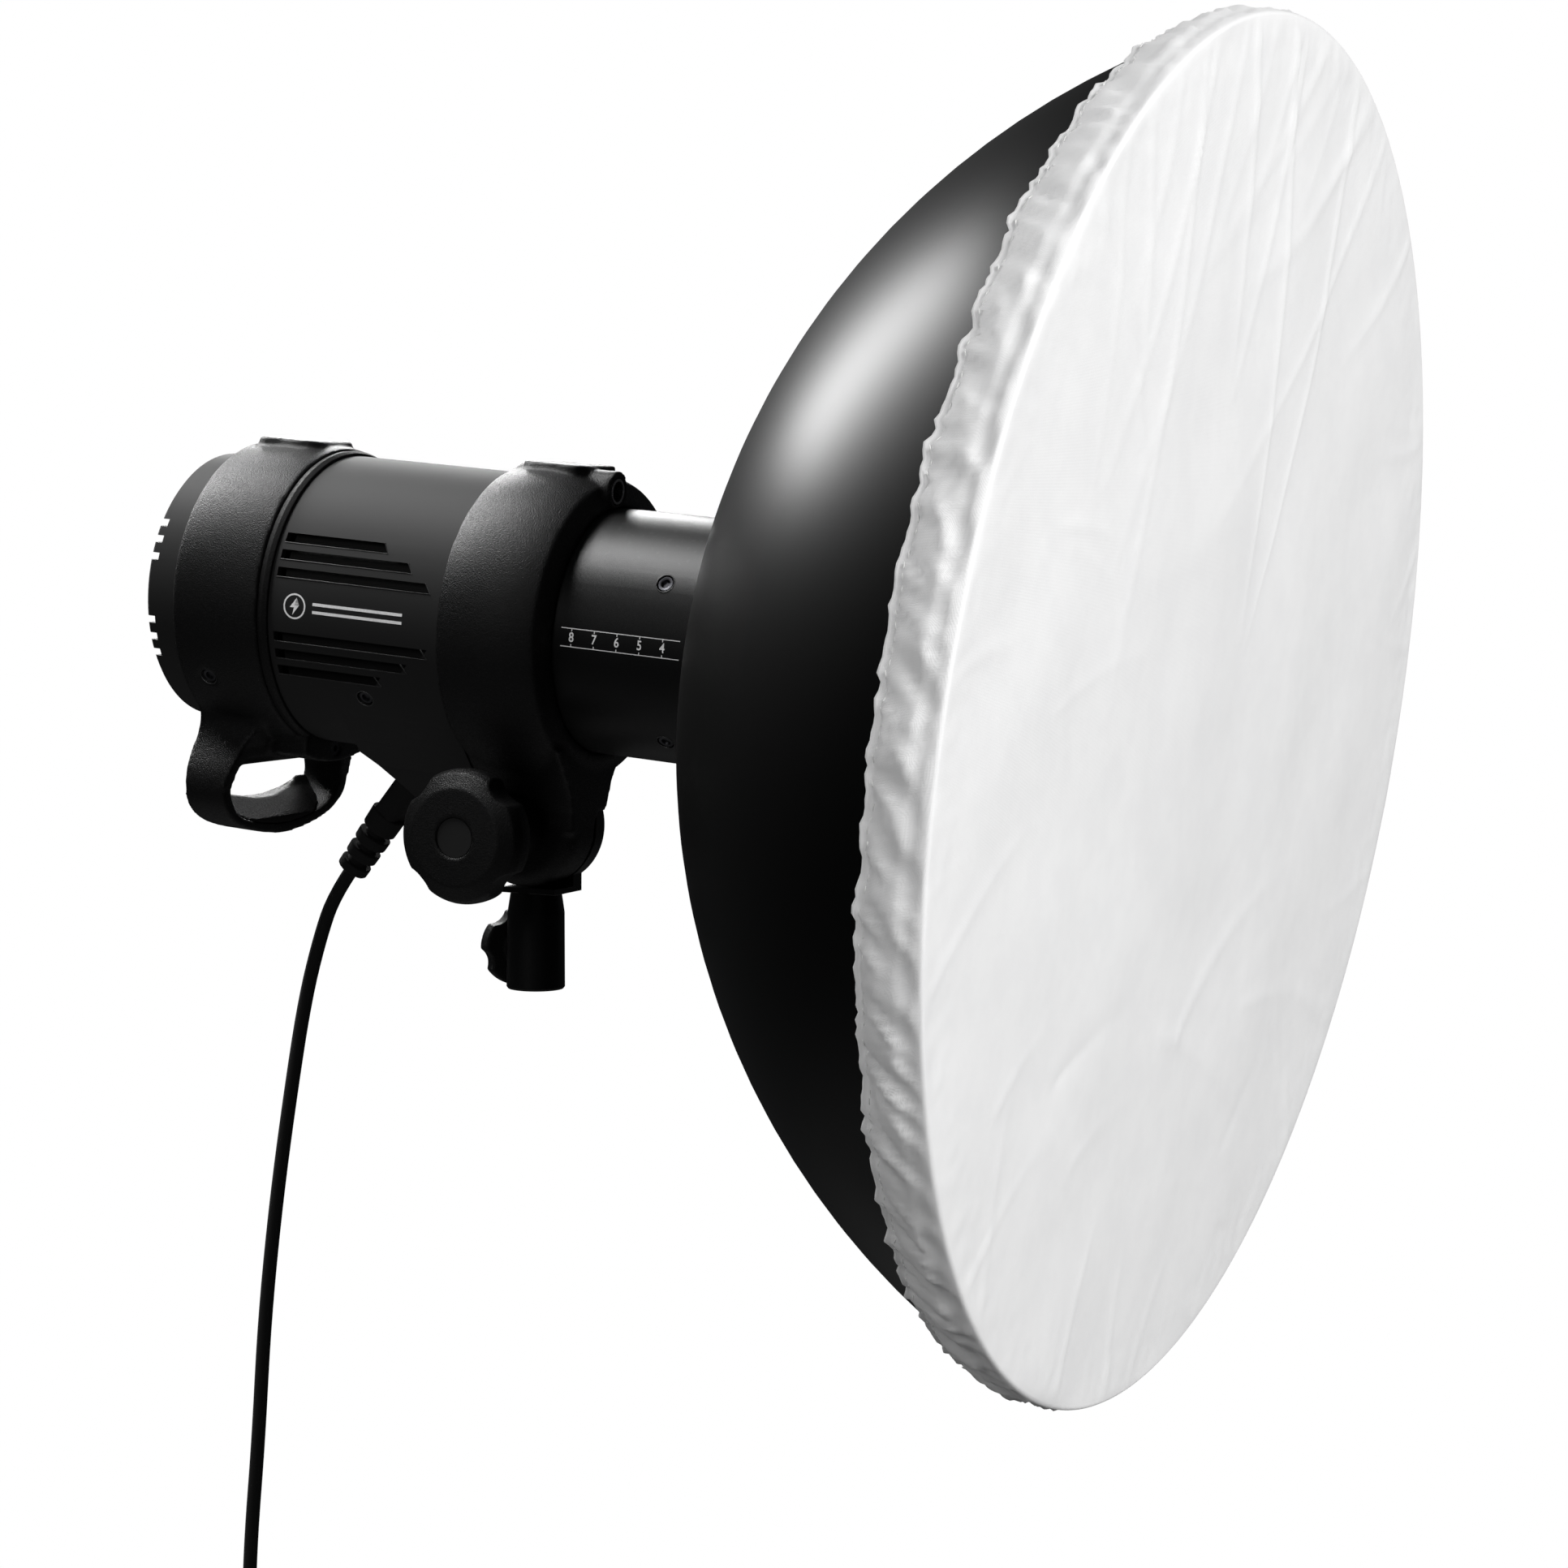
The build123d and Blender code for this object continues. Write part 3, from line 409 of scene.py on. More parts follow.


# lighter colour that edges show: partly rubbed wear, partly a painted edge highlight
GREY_EDGE = (0.06, 0.06, 0.061)
CASING = Finish("satin_casing", (0.0035, 0.0035, 0.0037), (0.005, 0.005, 0.0052), 0.34, 0.16, 2600.0, 0.00005, GREY_EDGE)
BUMPER = Finish("bumper_plastic", (0.004, 0.004, 0.0042), (0.006, 0.006, 0.0062), 0.38, 0.22, 2000.0, 0.00016, GREY_EDGE)
GRIP = Finish("soft_grip", (0.005, 0.005, 0.005), (0.009, 0.009, 0.009), 0.5, 0.2, 1500.0, 0.00008, (0.03, 0.03, 0.03))
POWDER = Finish("powder_coat", (0.004, 0.004, 0.0041), (0.016, 0.016, 0.0163), 0.27, 0.2, 820.0, 0.00050, GREY_EDGE)
TUBE_COAT = Finish("tube_anodised", (0.006, 0.006, 0.0062), (0.008, 0.008, 0.0082), 0.36, 0.1, 3600.0, 0.00002, GREY_EDGE)
BRACKET = Finish("bracket_anodised", (0.004, 0.004, 0.0042), (0.006, 0.006, 0.006), 0.34, 0.12, 3200.0, 0.00002,
                 (0.25, 0.25, 0.25))
CABLE = Finish("cable_rubber", (0.004, 0.004, 0.004), (0.006, 0.006, 0.006), 0.42, 0.15, 1800.0, 0.00003,
               (0.02, 0.02, 0.02))
STEEL = Finish("machined_steel", (0.55, 0.55, 0.56), (0.45, 0.45, 0.46), 0.25, 0.2, 1800.0, 0.00002, (0.8, 0.8, 0.8),
               metallic=1.0, dust=False)
BLACK_STEEL = Finish("blacked_steel", (0.03, 0.03, 0.032), (0.05, 0.05, 0.05), 0.3, 0.15, 2400.0, 0.00002,
                     (0.35, 0.35, 0.35), metallic=1.0, dust=False)
ALUMINIUM = Finish("bare_aluminium", (0.7, 0.7, 0.71), (0.6, 0.6, 0.61), 0.3, 0.15, 2000.0, 0.00002, (0.9, 0.9, 0.9),
                   metallic=1.0, dust=False)
ENAMEL = Finish("white_enamel", (0.82, 0.82, 0.81), (0.76, 0.76, 0.75), 0.4, 0.2, 900.0, 0.00003, (0.7, 0.7, 0.7))
BRASS = Finish("plated_brass", (0.75, 0.66, 0.42), (0.6, 0.52, 0.32), 0.25, 0.15, 1500.0, 0.00002, (0.9, 0.8, 0.55),
               metallic=1.0, dust=False)
BOARD = Finish("circuit_board", (0.02, 0.12, 0.05), (0.03, 0.18, 0.08), 0.3, 0.2, 700.0, 0.00003, (0.3, 0.3, 0.2))
WINDOW = Finish("display_glass", (0.004, 0.006, 0.007), (0.006, 0.009, 0.01), 0.08, 0.05, 900.0, 0.000003, GREY_EDGE)
KEY = Finish("grey_keys", (0.16, 0.16, 0.165), (0.2, 0.2, 0.205), 0.4, 0.15, 1900.0, 0.00004, (0.35, 0.35, 0.35))
INK = Finish("white_print", (0.80, 0.80, 0.80), (0.72, 0.72, 0.72), 0.45, 0.15, 1500.0, 0.00001, (0.85, 0.85, 0.85),
             dust=False)
# last colour: the painted shadow of the deflector on the cloth
CLOTH = ClothFinish("diffuser_cloth", (0.86, 0.86, 0.86), (0.82, 0.82, 0.822), (0.72, 0.72, 0.725))
FROSTED = GlassFinish("frosted_glass", (0.95, 0.96, 0.96), 0.35)
CLEAR = GlassFinish("clear_glass", (0.98, 0.98, 0.98), 0.03)


# ---- mesh tools --------------------------------------------------------------------------
def link(name: str, mesh: bpy.types.Mesh) -> bpy.types.Object:
    """Put a mesh in the scene under a name."""
    made = bpy.data.objects.new(name, mesh)
    bpy.context.scene.collection.objects.link(made)
    return made


def baked(source: bpy.types.Object, name: str) -> bpy.types.Object:
    """Turn an object's evaluated shape into a plain mesh object and delete the source."""
    graph = bpy.context.evaluated_depsgraph_get()
    mesh = bpy.data.meshes.new_from_object(source.evaluated_get(graph))
    bpy.data.objects.remove(source)
    mesh.name = name
    return link(name, mesh)


def smooth(piece: bpy.types.Object, degrees: float) -> bpy.types.Object:
    """Shade a piece smooth, with its sharp edges kept above an angle."""
    piece.data.shade_smooth()
    piece.data.set_sharp_from_angle(angle=math.radians(degrees))
    return piece


def dress(piece: bpy.types.Object, material: bpy.types.Material) -> bpy.types.Object:
    """Give a piece one material."""
    piece.data.materials.clear()
    piece.data.materials.append(material)
    return piece


def fit(piece: bpy.types.Object, body: str, slot: str, *nodes: str) -> bpy.types.Object:
    """Let a finished piece ride on its body and hide the CAD nodes it stands for.

    Args:
        piece: the finished mesh object.
        body: the CAD body that carries it.
        slot: the record's material slot; not used.
        nodes: CAD nodes that it replaces.

    Returns:
        The same piece.
    """
    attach(piece, body)
    if nodes:
        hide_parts(*nodes)
    LOG.info("%s: %d faces on %s", piece.name, len(piece.data.polygons), body)
    return piece


def from_points(name: str, points: np.ndarray, faces: Sequence[tuple]) -> bpy.types.Object:
    """Mesh object from an array of row-frame points and its faces."""
    mesh = bpy.data.meshes.new(name)
    mesh.from_pydata(points.tolist(), [], faces)
    mesh.update()
    return link(name, mesh)


def moulded(nodes: Sequence[str], name: str, voxel: float, passes: int) -> bpy.types.Object:
    """CAD pieces as one moulding with every edge rounded: remeshed, then relaxed.

    Args:
        nodes: the CAD nodes.
        name: the new piece's name.
        voxel: remesh size in metres.
        passes: smoothing passes.

    Returns:
        The new mesh object.
    """
    mesh = bpy.data.meshes.new(name + "_source")
    shape = bmesh.new()
    for node in nodes:
        shape.from_mesh(frame["nodes"][node].data)
    bmesh.ops.remove_doubles(shape, verts=shape.verts, dist=0.00001)
    shape.to_mesh(mesh)
    shape.free()
    source = link(name + "_source", mesh)
    remesh = source.modifiers.new("voxels", "REMESH")
    remesh.mode = "VOXEL"
    remesh.voxel_size = voxel
    relax = source.modifiers.new("relax", "SMOOTH")
    relax.factor = 0.5
    relax.iterations = passes
    piece = baked(source, name)
    piece.data.shade_smooth()
    return piece


# ---- geometry-node trees -----------------------------------------------------------------
def stations_tree(name: str, seed: int) -> bpy.types.NodeTree:
    """Geometry Nodes tree that sets one small piece on every station and makes it real.

    Args:
        name: the tree's name.
        seed: seed of the small random turn about each piece's own axis.

    Returns:
        The tree; its inputs are Stations, Piece, Size, Twist and Finish.
    """
    tree = bpy.data.node_groups.new(name, "GeometryNodeTree")
    sockets = (("Stations", "Geometry"), ("Piece", "Object"), ("Size", "Float"), ("Twist", "Float"), ("Finish", "Material"))
    for label, kind in sockets:
        tree.interface.new_socket(name=label, in_out="INPUT", socket_type="NodeSocket" + kind)
    tree.interface.new_socket(name="Geometry", in_out="OUTPUT", socket_type="NodeSocketGeometry")
    make, wire = tree.nodes.new, tree.links.new
    start, end = make("NodeGroupInput"), make("NodeGroupOutput")
    info, aim = make("GeometryNodeObjectInfo"), make("GeometryNodeInputNamedAttribute")
    aim.data_type = "FLOAT_VECTOR"
    aim.inputs["Name"].default_value = "aim"
    turn = make("FunctionNodeAlignRotationToVector")
    turn.axis = "Z"
    spread = make("FunctionNodeRandomValue")
    spread.data_type = "FLOAT"
    spread.inputs["Seed"].default_value = seed
    own = make("FunctionNodeAxisAngleToRotation")
    both = make("FunctionNodeRotateRotation")
    both.rotation_space = "LOCAL"
    place, real, coat = make("GeometryNodeInstanceOnPoints"), make("GeometryNodeRealizeInstances"), make("GeometryNodeSetMaterial")
    wire(start.outputs["Piece"], info.inputs["Object"])
    wire(aim.outputs["Attribute"], turn.inputs["Vector"])
    wire(start.outputs["Twist"], spread.inputs[3])
    wire(spread.outputs[1], own.inputs["Angle"])
    wire(turn.outputs["Rotation"], both.inputs["Rotation"])
    wire(own.outputs["Rotation"], both.inputs["Rotate By"])
    wire(start.outputs["Stations"], place.inputs["Points"])
    wire(info.outputs["Geometry"], place.inputs["Instance"])
    wire(both.outputs["Rotation"], place.inputs["Rotation"])
    wire(start.outputs["Size"], place.inputs["Scale"])
    wire(place.outputs["Instances"], real.inputs["Geometry"])
    wire(real.outputs["Geometry"], coat.inputs["Geometry"])
    wire(start.outputs["Finish"], coat.inputs["Material"])
    wire(coat.outputs["Geometry"], end.inputs["Geometry"])
    return tree


STATIONS = stations_tree("pieces_on_stations", 7)


def repeated(name: str, piece: bpy.types.Object, places: Sequence[tuple[Vector, Vector]], finish: Finish,
             twist: float = 0.0) -> bpy.types.Object:
    """One mesh with a copy of a small piece at each place, its Z along that place's direction.

    Args:
        name: the new object's name.
        piece: the pattern, at the origin; it is deleted.
        places: point and direction pairs in the row frame.
        finish: the copies' finish.
        twist: most random turn about each copy's axis, in radians.

    Returns:
        The joined, plain mesh object.
    """
    mesh = bpy.data.meshes.new(name + "_stations")
    mesh.from_pydata([tuple(point) for point, _ in places], [], [])
    aims = mesh.attributes.new("aim", "FLOAT_VECTOR", "POINT")
    aims.data.foreach_set("vector", [c for _, direction in places for c in direction.normalized()])
    holder = link(name + "_holder", mesh)
    nodes = holder.modifiers.new("stations", "NODES")
    nodes.node_group = STATIONS
    values = {"Piece": piece, "Size": 1.0, "Twist": twist, "Finish": finish.material()}
    for item in STATIONS.interface.items_tree:
        if item.name in values and item.in_out == "INPUT":
            nodes[item.identifier] = values[item.name]
    result = baked(holder, name)
    bpy.data.objects.remove(piece)
    return result


def lathe(name: str, outline: Sequence[tuple[float, float]], segments: int) -> bpy.types.Object:
    """Closed turned pattern about Z from (radius, height) points in millimetres that start and end on the axis."""
    shape = bmesh.new()
    rings = []
    for radius, height in outline:
        if radius <= 0:
            rings.append([shape.verts.new((0.0, 0.0, height * MM))])
            continue
        rings.append([shape.verts.new((radius * MM * math.cos(2 * math.pi * i / segments),
                                       radius * MM * math.sin(2 * math.pi * i / segments), height * MM))
                      for i in range(segments)])
    for low, high in zip(rings, rings[1:]):
        for i in range(segments):
            j = (i + 1) % segments
            corners = [low[i % len(low)], low[j % len(low)], high[j % len(high)], high[i % len(high)]]
            shape.faces.new(list(dict.fromkeys(corners)))
    bmesh.ops.recalc_face_normals(shape, faces=shape.faces)
    mesh = bpy.data.meshes.new(name)
    shape.to_mesh(mesh)
    shape.free()
    return link(name, mesh)


# ---- head casings ------------------------------------------------------------------------
@dataclass
class Moulding:
    """A CAD casing, of one node or more, shown with its edges rounded."""

    node: str
    body: str
    slot: str
    finish: Finish
    voxel: float = 1.0
    passes: int = 6
    joined: tuple[str, ...] = ()

    def build(self) -> bpy.types.Object:
        """Make the rounded piece and let it stand for its CAD nodes."""
        nodes = (self.node, *self.joined)
        piece = moulded(nodes, self.node + "_moulded", self.voxel * MM, self.passes)
        dress(piece, self.finish.material())
        return fit(piece, self.body, self.slot, *nodes)


MOULDINGS = (
    Moulding("front_bumper", "head", "satin_casing", BUMPER, 1.05, 5, ("bumper_crown",)),
    Moulding("rear_bumper", "head", "satin_casing", BUMPER, 1.05, 5),
    Moulding("handle_grip", "head", "soft_rubber", GRIP, 0.6, 8),
    Moulding("tilt_knob", "tilt_knob", "satin_casing", BUMPER, 0.6, 8),
    Moulding("lock_knob", "lock_knob", "satin_casing", BUMPER, 0.5, 6),
    Moulding("strain_relief", "head", "soft_rubber", CABLE, 0.35, 5),
    Moulding("mains_connector", "head", "soft_rubber", CABLE, 0.4, 7),
    Moulding("mains_plug", "stand_bracket", "cable_rubber", CABLE, 0.6, 8),
    Moulding("coil_tie", "stand_bracket", "satin_casing", GRIP, 0.4, 6),
)

KEPT_NODES: tuple[tuple[object, str], ...] = (
    (BRACKET, "stand_socket bracket_arm fuse_holder"),
    (BLACK_STEEL, "socket_screw tilt_bolt tilt_washer loop_screw"),
    (BRASS, "clamp_shoe sync_socket"),
    (GRIP, "friction_disc seal_ring rubber_collar"),
    (STEEL, "plug_pins lock_screw umbrella_sleeve deflector_rods"),
    # vent_liner: a black sheet behind the vent slots, painted shade standing in for the dark inside of the head
    (CASING, "tilt_knob_cap main_housing rear_cap power_inlet vent_liner capacitor_bank fan_frame "
     "fan_rotor"),
    (TUBE_COAT, "rear_panel front_tube"),
    (WINDOW, "display_window"),
    (ALUMINIUM, "chassis_plate reflector_plate flange_rivets"),
    (BOARD, "main_board"),
    (ENAMEL, "lamp_socket deflector_disc"),
    (FROSTED, "modelling_lamp glass_cover"),
    (CLEAR, "flash_tube"),
    (BUMPER, "energy_dial"),
    (KEY, "power_rocker test_button lamp_button ready_button slave_button"),
    (POWDER, "dish_shell collar_flange"),
)
BOWL_NODES = ("dish_shell", "collar_flange", "flange_rivets", "deflector_disc", "deflector_rods", "diffuser_sock", "floor")


def dress_frame() -> None:
    """Give every CAD node that stays in view its finish."""
    for finish, names in KEPT_NODES:
        for name in names.split():
            dress(frame["nodes"][name], finish.material())


# ---- screws ------------------------------------------------------------------------------
@dataclass
class SideScrews:
    """Socket-head screws on both sides of the head; their bright counterbore rings are made by ScrewRings."""

    node: str
    stations: tuple[tuple[float, float, float], ...]
    radius: float
    depth: float

    def pattern(self) -> bpy.types.Object:
        """One socket head with a rounded rim and a six-sided socket, its top at Z = 0."""
        r = self.radius
        outline = [(0, -1.6), (r, -1.6), (r, -0.35), (r - 0.35, 0), (r * 0.62, 0), (r * 0.56, -0.1)]
        head = lathe(self.node + "_pattern", outline + [(r * 0.5, -1.1), (0, -1.1)], 24)
        shape = bmesh.new()
        shape.from_mesh(head.data)
        for vert in shape.verts:
            if vert.co.z < -0.9 * MM and vert.co.xy.length < r * 0.55 * MM and vert.co.xy.length > 0:
                corner = (math.atan2(vert.co.y, vert.co.x) % (math.pi / 3)) - math.pi / 6
                vert.co.xy *= math.cos(math.pi / 6) / math.cos(corner)
        shape.to_mesh(head.data)
        shape.free()
        return head

    def build(self) -> bpy.types.Object:
        """Set the heads at their stations by Geometry Nodes."""
        places = []
        for ahead, degrees, surface in self.stations:
            for side in (degrees, 180.0 - degrees):
                top = HEAD.round_axis(ahead, surface - self.depth, side, AXIS_HEIGHT)
                out = top - HEAD.at(0.0, ahead, AXIS_HEIGHT)
                places.append((top, out))
        screws = smooth(repeated(self.node + "_heads", self.pattern(), places, BLACK_STEEL, math.pi), 40)
        return fit(screws, "head", "blacked_steel", self.node)


SCREW_SETS = (
    SideScrews("casing_screws", ((-127.8, -32.0, 63.2), (-55.6, -35.6, 59.6)), 3.1, 0.75),
    SideScrews("tube_screws", ((73.0, 29.8, 49.5), (72.5, -50.3, 49.5)), 3.3, 0.25),
)


@dataclass
class ScrewRings:
    """Thin turned rings that line the screws' counterbores."""

    sets: tuple[SideScrews, ...]
    wide: float = 0.45

    def build(self) -> bpy.types.Object:
        """Set one ring round each screw."""
        radius = 3.55
        outline = [(radius, -1.0), (radius + self.wide, -1.0), (radius + self.wide, 0.05), (radius, 0.1), (radius, -1.0)]
        pattern = lathe("screw_ring_pattern", outline, 28)
        places = []
        for group in self.sets:
            for ahead, degrees, surface in group.stations:
                for side in (degrees, 180.0 - degrees):
                    top = HEAD.round_axis(ahead, surface, side, AXIS_HEIGHT)
                    places.append((top, top - HEAD.at(0.0, ahead, AXIS_HEIGHT)))
        rings = smooth(repeated("screw_rings", pattern, places, TUBE_COAT), 40)
        return fit(rings, "head", "satin_casing")


# ---- printed marks -----------------------------------------------------------------------
@dataclass
class FocusScale:
    """Printed focusing scale on the tube: two rules with ticks and the numbers between them."""

    tube_radius: float = 49.5
    first: float = 37.1
    step: float = 10.0
    numbers: tuple[str, ...] = ("8", "7", "6", "5", "4")
    half_width: float = 3.6
    rule: float = 0.34
    start: float = 32.4
    finish_at: float = 84.6
    lift: float = 0.05

    def strip(self, along: tuple[float, float], over: tuple[float, float]) -> list[tuple[float, float]]:
        """Corners of a flat rectangle in (ahead, above the axis)."""
        return [(along[0], over[0]), (along[1], over[0]), (along[1], over[1]), (along[0], over[1])]

    def wrap(self, ahead: float, over: float, lift: float) -> Vector:
        """Point of the printed face bent round the tube on the -X side."""
        return HEAD.round_axis(ahead, self.tube_radius + lift, math.degrees(over / self.tube_radius), AXIS_HEIGHT)

    def build(self) -> bpy.types.Object:
        """Make the rules, the ticks and the numbers as one thin raised print."""
        shape = bmesh.new()
        strips = []
        for side in (-1, 1):
            edge = side * self.half_width
            strips.append(self.strip((self.start, self.finish_at), (edge - self.rule / 2, edge + self.rule / 2)))
            for i in range(len(self.numbers)):
                x = self.first + i * self.step
                strips.append(self.strip((x - 0.18, x + 0.18), sorted((edge, edge - side * 1.1))))
        for corners in strips:
            shape.faces.new([shape.verts.new((x, y, 0.0)) for x, y in corners])
        for i, digit in enumerate(self.numbers):
            self.add_text(shape, digit, self.first + i * self.step, 0.0, 3.9)
        bmesh.ops.subdivide_edges(shape, edges=[e for e in shape.edges if e.calc_length() > 4.0], cuts=8)
        for vert in shape.verts:
            vert.co = self.wrap(vert.co.x, vert.co.y, self.lift)
        return printed("focus_scale", shape, "head")

    @staticmethod
    def add_text(shape: bmesh.types.BMesh, words: str, x: float, y: float, size: float) -> None:
        """Add flat text, centred on a point, to a flat drawing in millimetres."""
        curve = bpy.data.curves.new("digits", "FONT")
        curve.body, curve.size, curve.offset = words, size * 1.35, 0.09
        curve.align_x, curve.align_y = "CENTER", "CENTER"
        holder = bpy.data.objects.new("digits", curve)
        bpy.context.scene.collection.objects.link(holder)
        flat = baked(holder, "digits_mesh")
        for vert in flat.data.vertices:
            vert.co.x = vert.co.x * 0.86 + x
            vert.co.y += y
        shape.from_mesh(flat.data)
        bpy.data.objects.remove(flat)


def printed(name: str, shape: bmesh.types.BMesh, body: str) -> bpy.types.Object:
    """Turn a flat drawing already laid on its surface into a white printed piece."""
    mesh = bpy.data.meshes.new(name)
    bmesh.ops.triangulate(shape, faces=shape.faces)
    shape.to_mesh(mesh)
    shape.free()
    piece = dress(link(name, mesh), INK.material())
    return fit(piece, body, "white_enamel")


@dataclass
class HousingMark:
    """Generic mark between the vents: a lightning bolt in a ring, with a plain rule beside it."""

    radius: float = 59.6
    centre: float = -84.5
    ring: float = 5.2
    line: float = 0.7
    rule_end: float = -34.0
    lift: float = 0.05

    def flat_ring(self, shape: bmesh.types.BMesh) -> None:
        """Add the ring."""
        count = 40
        loops = []
        for radius in (self.ring - self.line, self.ring):
            loops.append([shape.verts.new((self.centre + radius * math.cos(2 * math.pi * i / count),
                                           radius * math.sin(2 * math.pi * i / count), 0.0)) for i in range(count)])
        for i in range(count):
            j = (i + 1) % count
            shape.faces.new([loops[0][i], loops[0][j], loops[1][j], loops[1][i]])

    def build(self) -> list[bpy.types.Object]:
        """Make the mark on both sides of the housing."""
        bolt = ((0.9, 3.6), (-2.2, -0.5), (-0.2, -0.5), (-0.9, -3.6), (2.2, 0.5), (0.2, 0.5))
        made = []
        for side, name in ((0.0, "housing_mark_near"), (180.0, "housing_mark_far")):
            shape = bmesh.new()
            self.flat_ring(shape)
            shape.faces.new([shape.verts.new((self.centre + x, y, 0.0)) for x, y in bolt])
            for low, high in ((1.0, 2.2), (-2.2, -1.0)):
                steps = 12
                xs = [self.centre + 8.5 + (self.rule_end - self.centre - 8.5) * i / steps for i in range(steps + 1)]
                rows = [[shape.verts.new((x, y, 0.0)) for x in xs] for y in (low, high)]
                for i in range(steps):
                    shape.faces.new([rows[0][i], rows[0][i + 1], rows[1][i + 1], rows[1][i]])
            for vert in shape.verts:
                angle = math.degrees(vert.co.y / self.radius)
                angle = angle if side == 0.0 else 180.0 - angle
                vert.co = HEAD.round_axis(vert.co.x, self.radius + self.lift, angle, AXIS_HEIGHT)
            made.append(printed(name, shape, "head"))
        return made


# ---- vents -------------------------------------------------------------------------------
@dataclass
class VentLips:
    """Thin moulded lips along the lower edge of each side vent, which catch the light."""

    radius: float = 59.6
    back: float = -94.5
    high: float = 3.9
    vents: tuple[tuple[float, float], ...] = ((26.75, -47.1), (20.06, -33.8), (13.02, -23.9))
    thick: float = 0.34

    def build(self) -> bpy.types.Object:
        """Sweep a small round bead along each lower edge and up its slanted end."""
        curve = bpy.data.curves.new("vent_lips", "CURVE")
        curve.dimensions = "3D"
        curve.bevel_depth = self.thick * MM
        curve.bevel_resolution = 2
        curve.use_fill_caps = True
        for side in (0.0, 180.0):
            for height, front in self.vents:
                for above in (height, -height):
                    self.add_lip(curve, side, above, front)
        holder = bpy.data.objects.new("vent_lips", curve)
        bpy.context.scene.collection.objects.link(holder)
        lips = dress(smooth(baked(holder, "vent_lips"), 60), TUBE_COAT.material())
        return fit(lips, "head", "satin_casing")

    def add_lip(self, curve: bpy.types.Curve, side: float, above: float, front: float) -> None:
        """Add one vent's lip to the curve."""
        low = above - self.high / 2
        points = [(self.back, low), (front + 1.4, low), (front - 1.4, above + self.high / 2)]
        spline = curve.splines.new("POLY")
        spline.points.add(len(points) - 1)
        for point, (ahead, w) in zip(spline.points, points):
            angle = math.degrees(math.asin(w / self.radius))
            angle = angle if side == 0.0 else 180.0 - angle
            place = HEAD.round_axis(ahead, self.radius - 0.1, angle, AXIS_HEIGHT)
            point.co = (*place, 1.0)


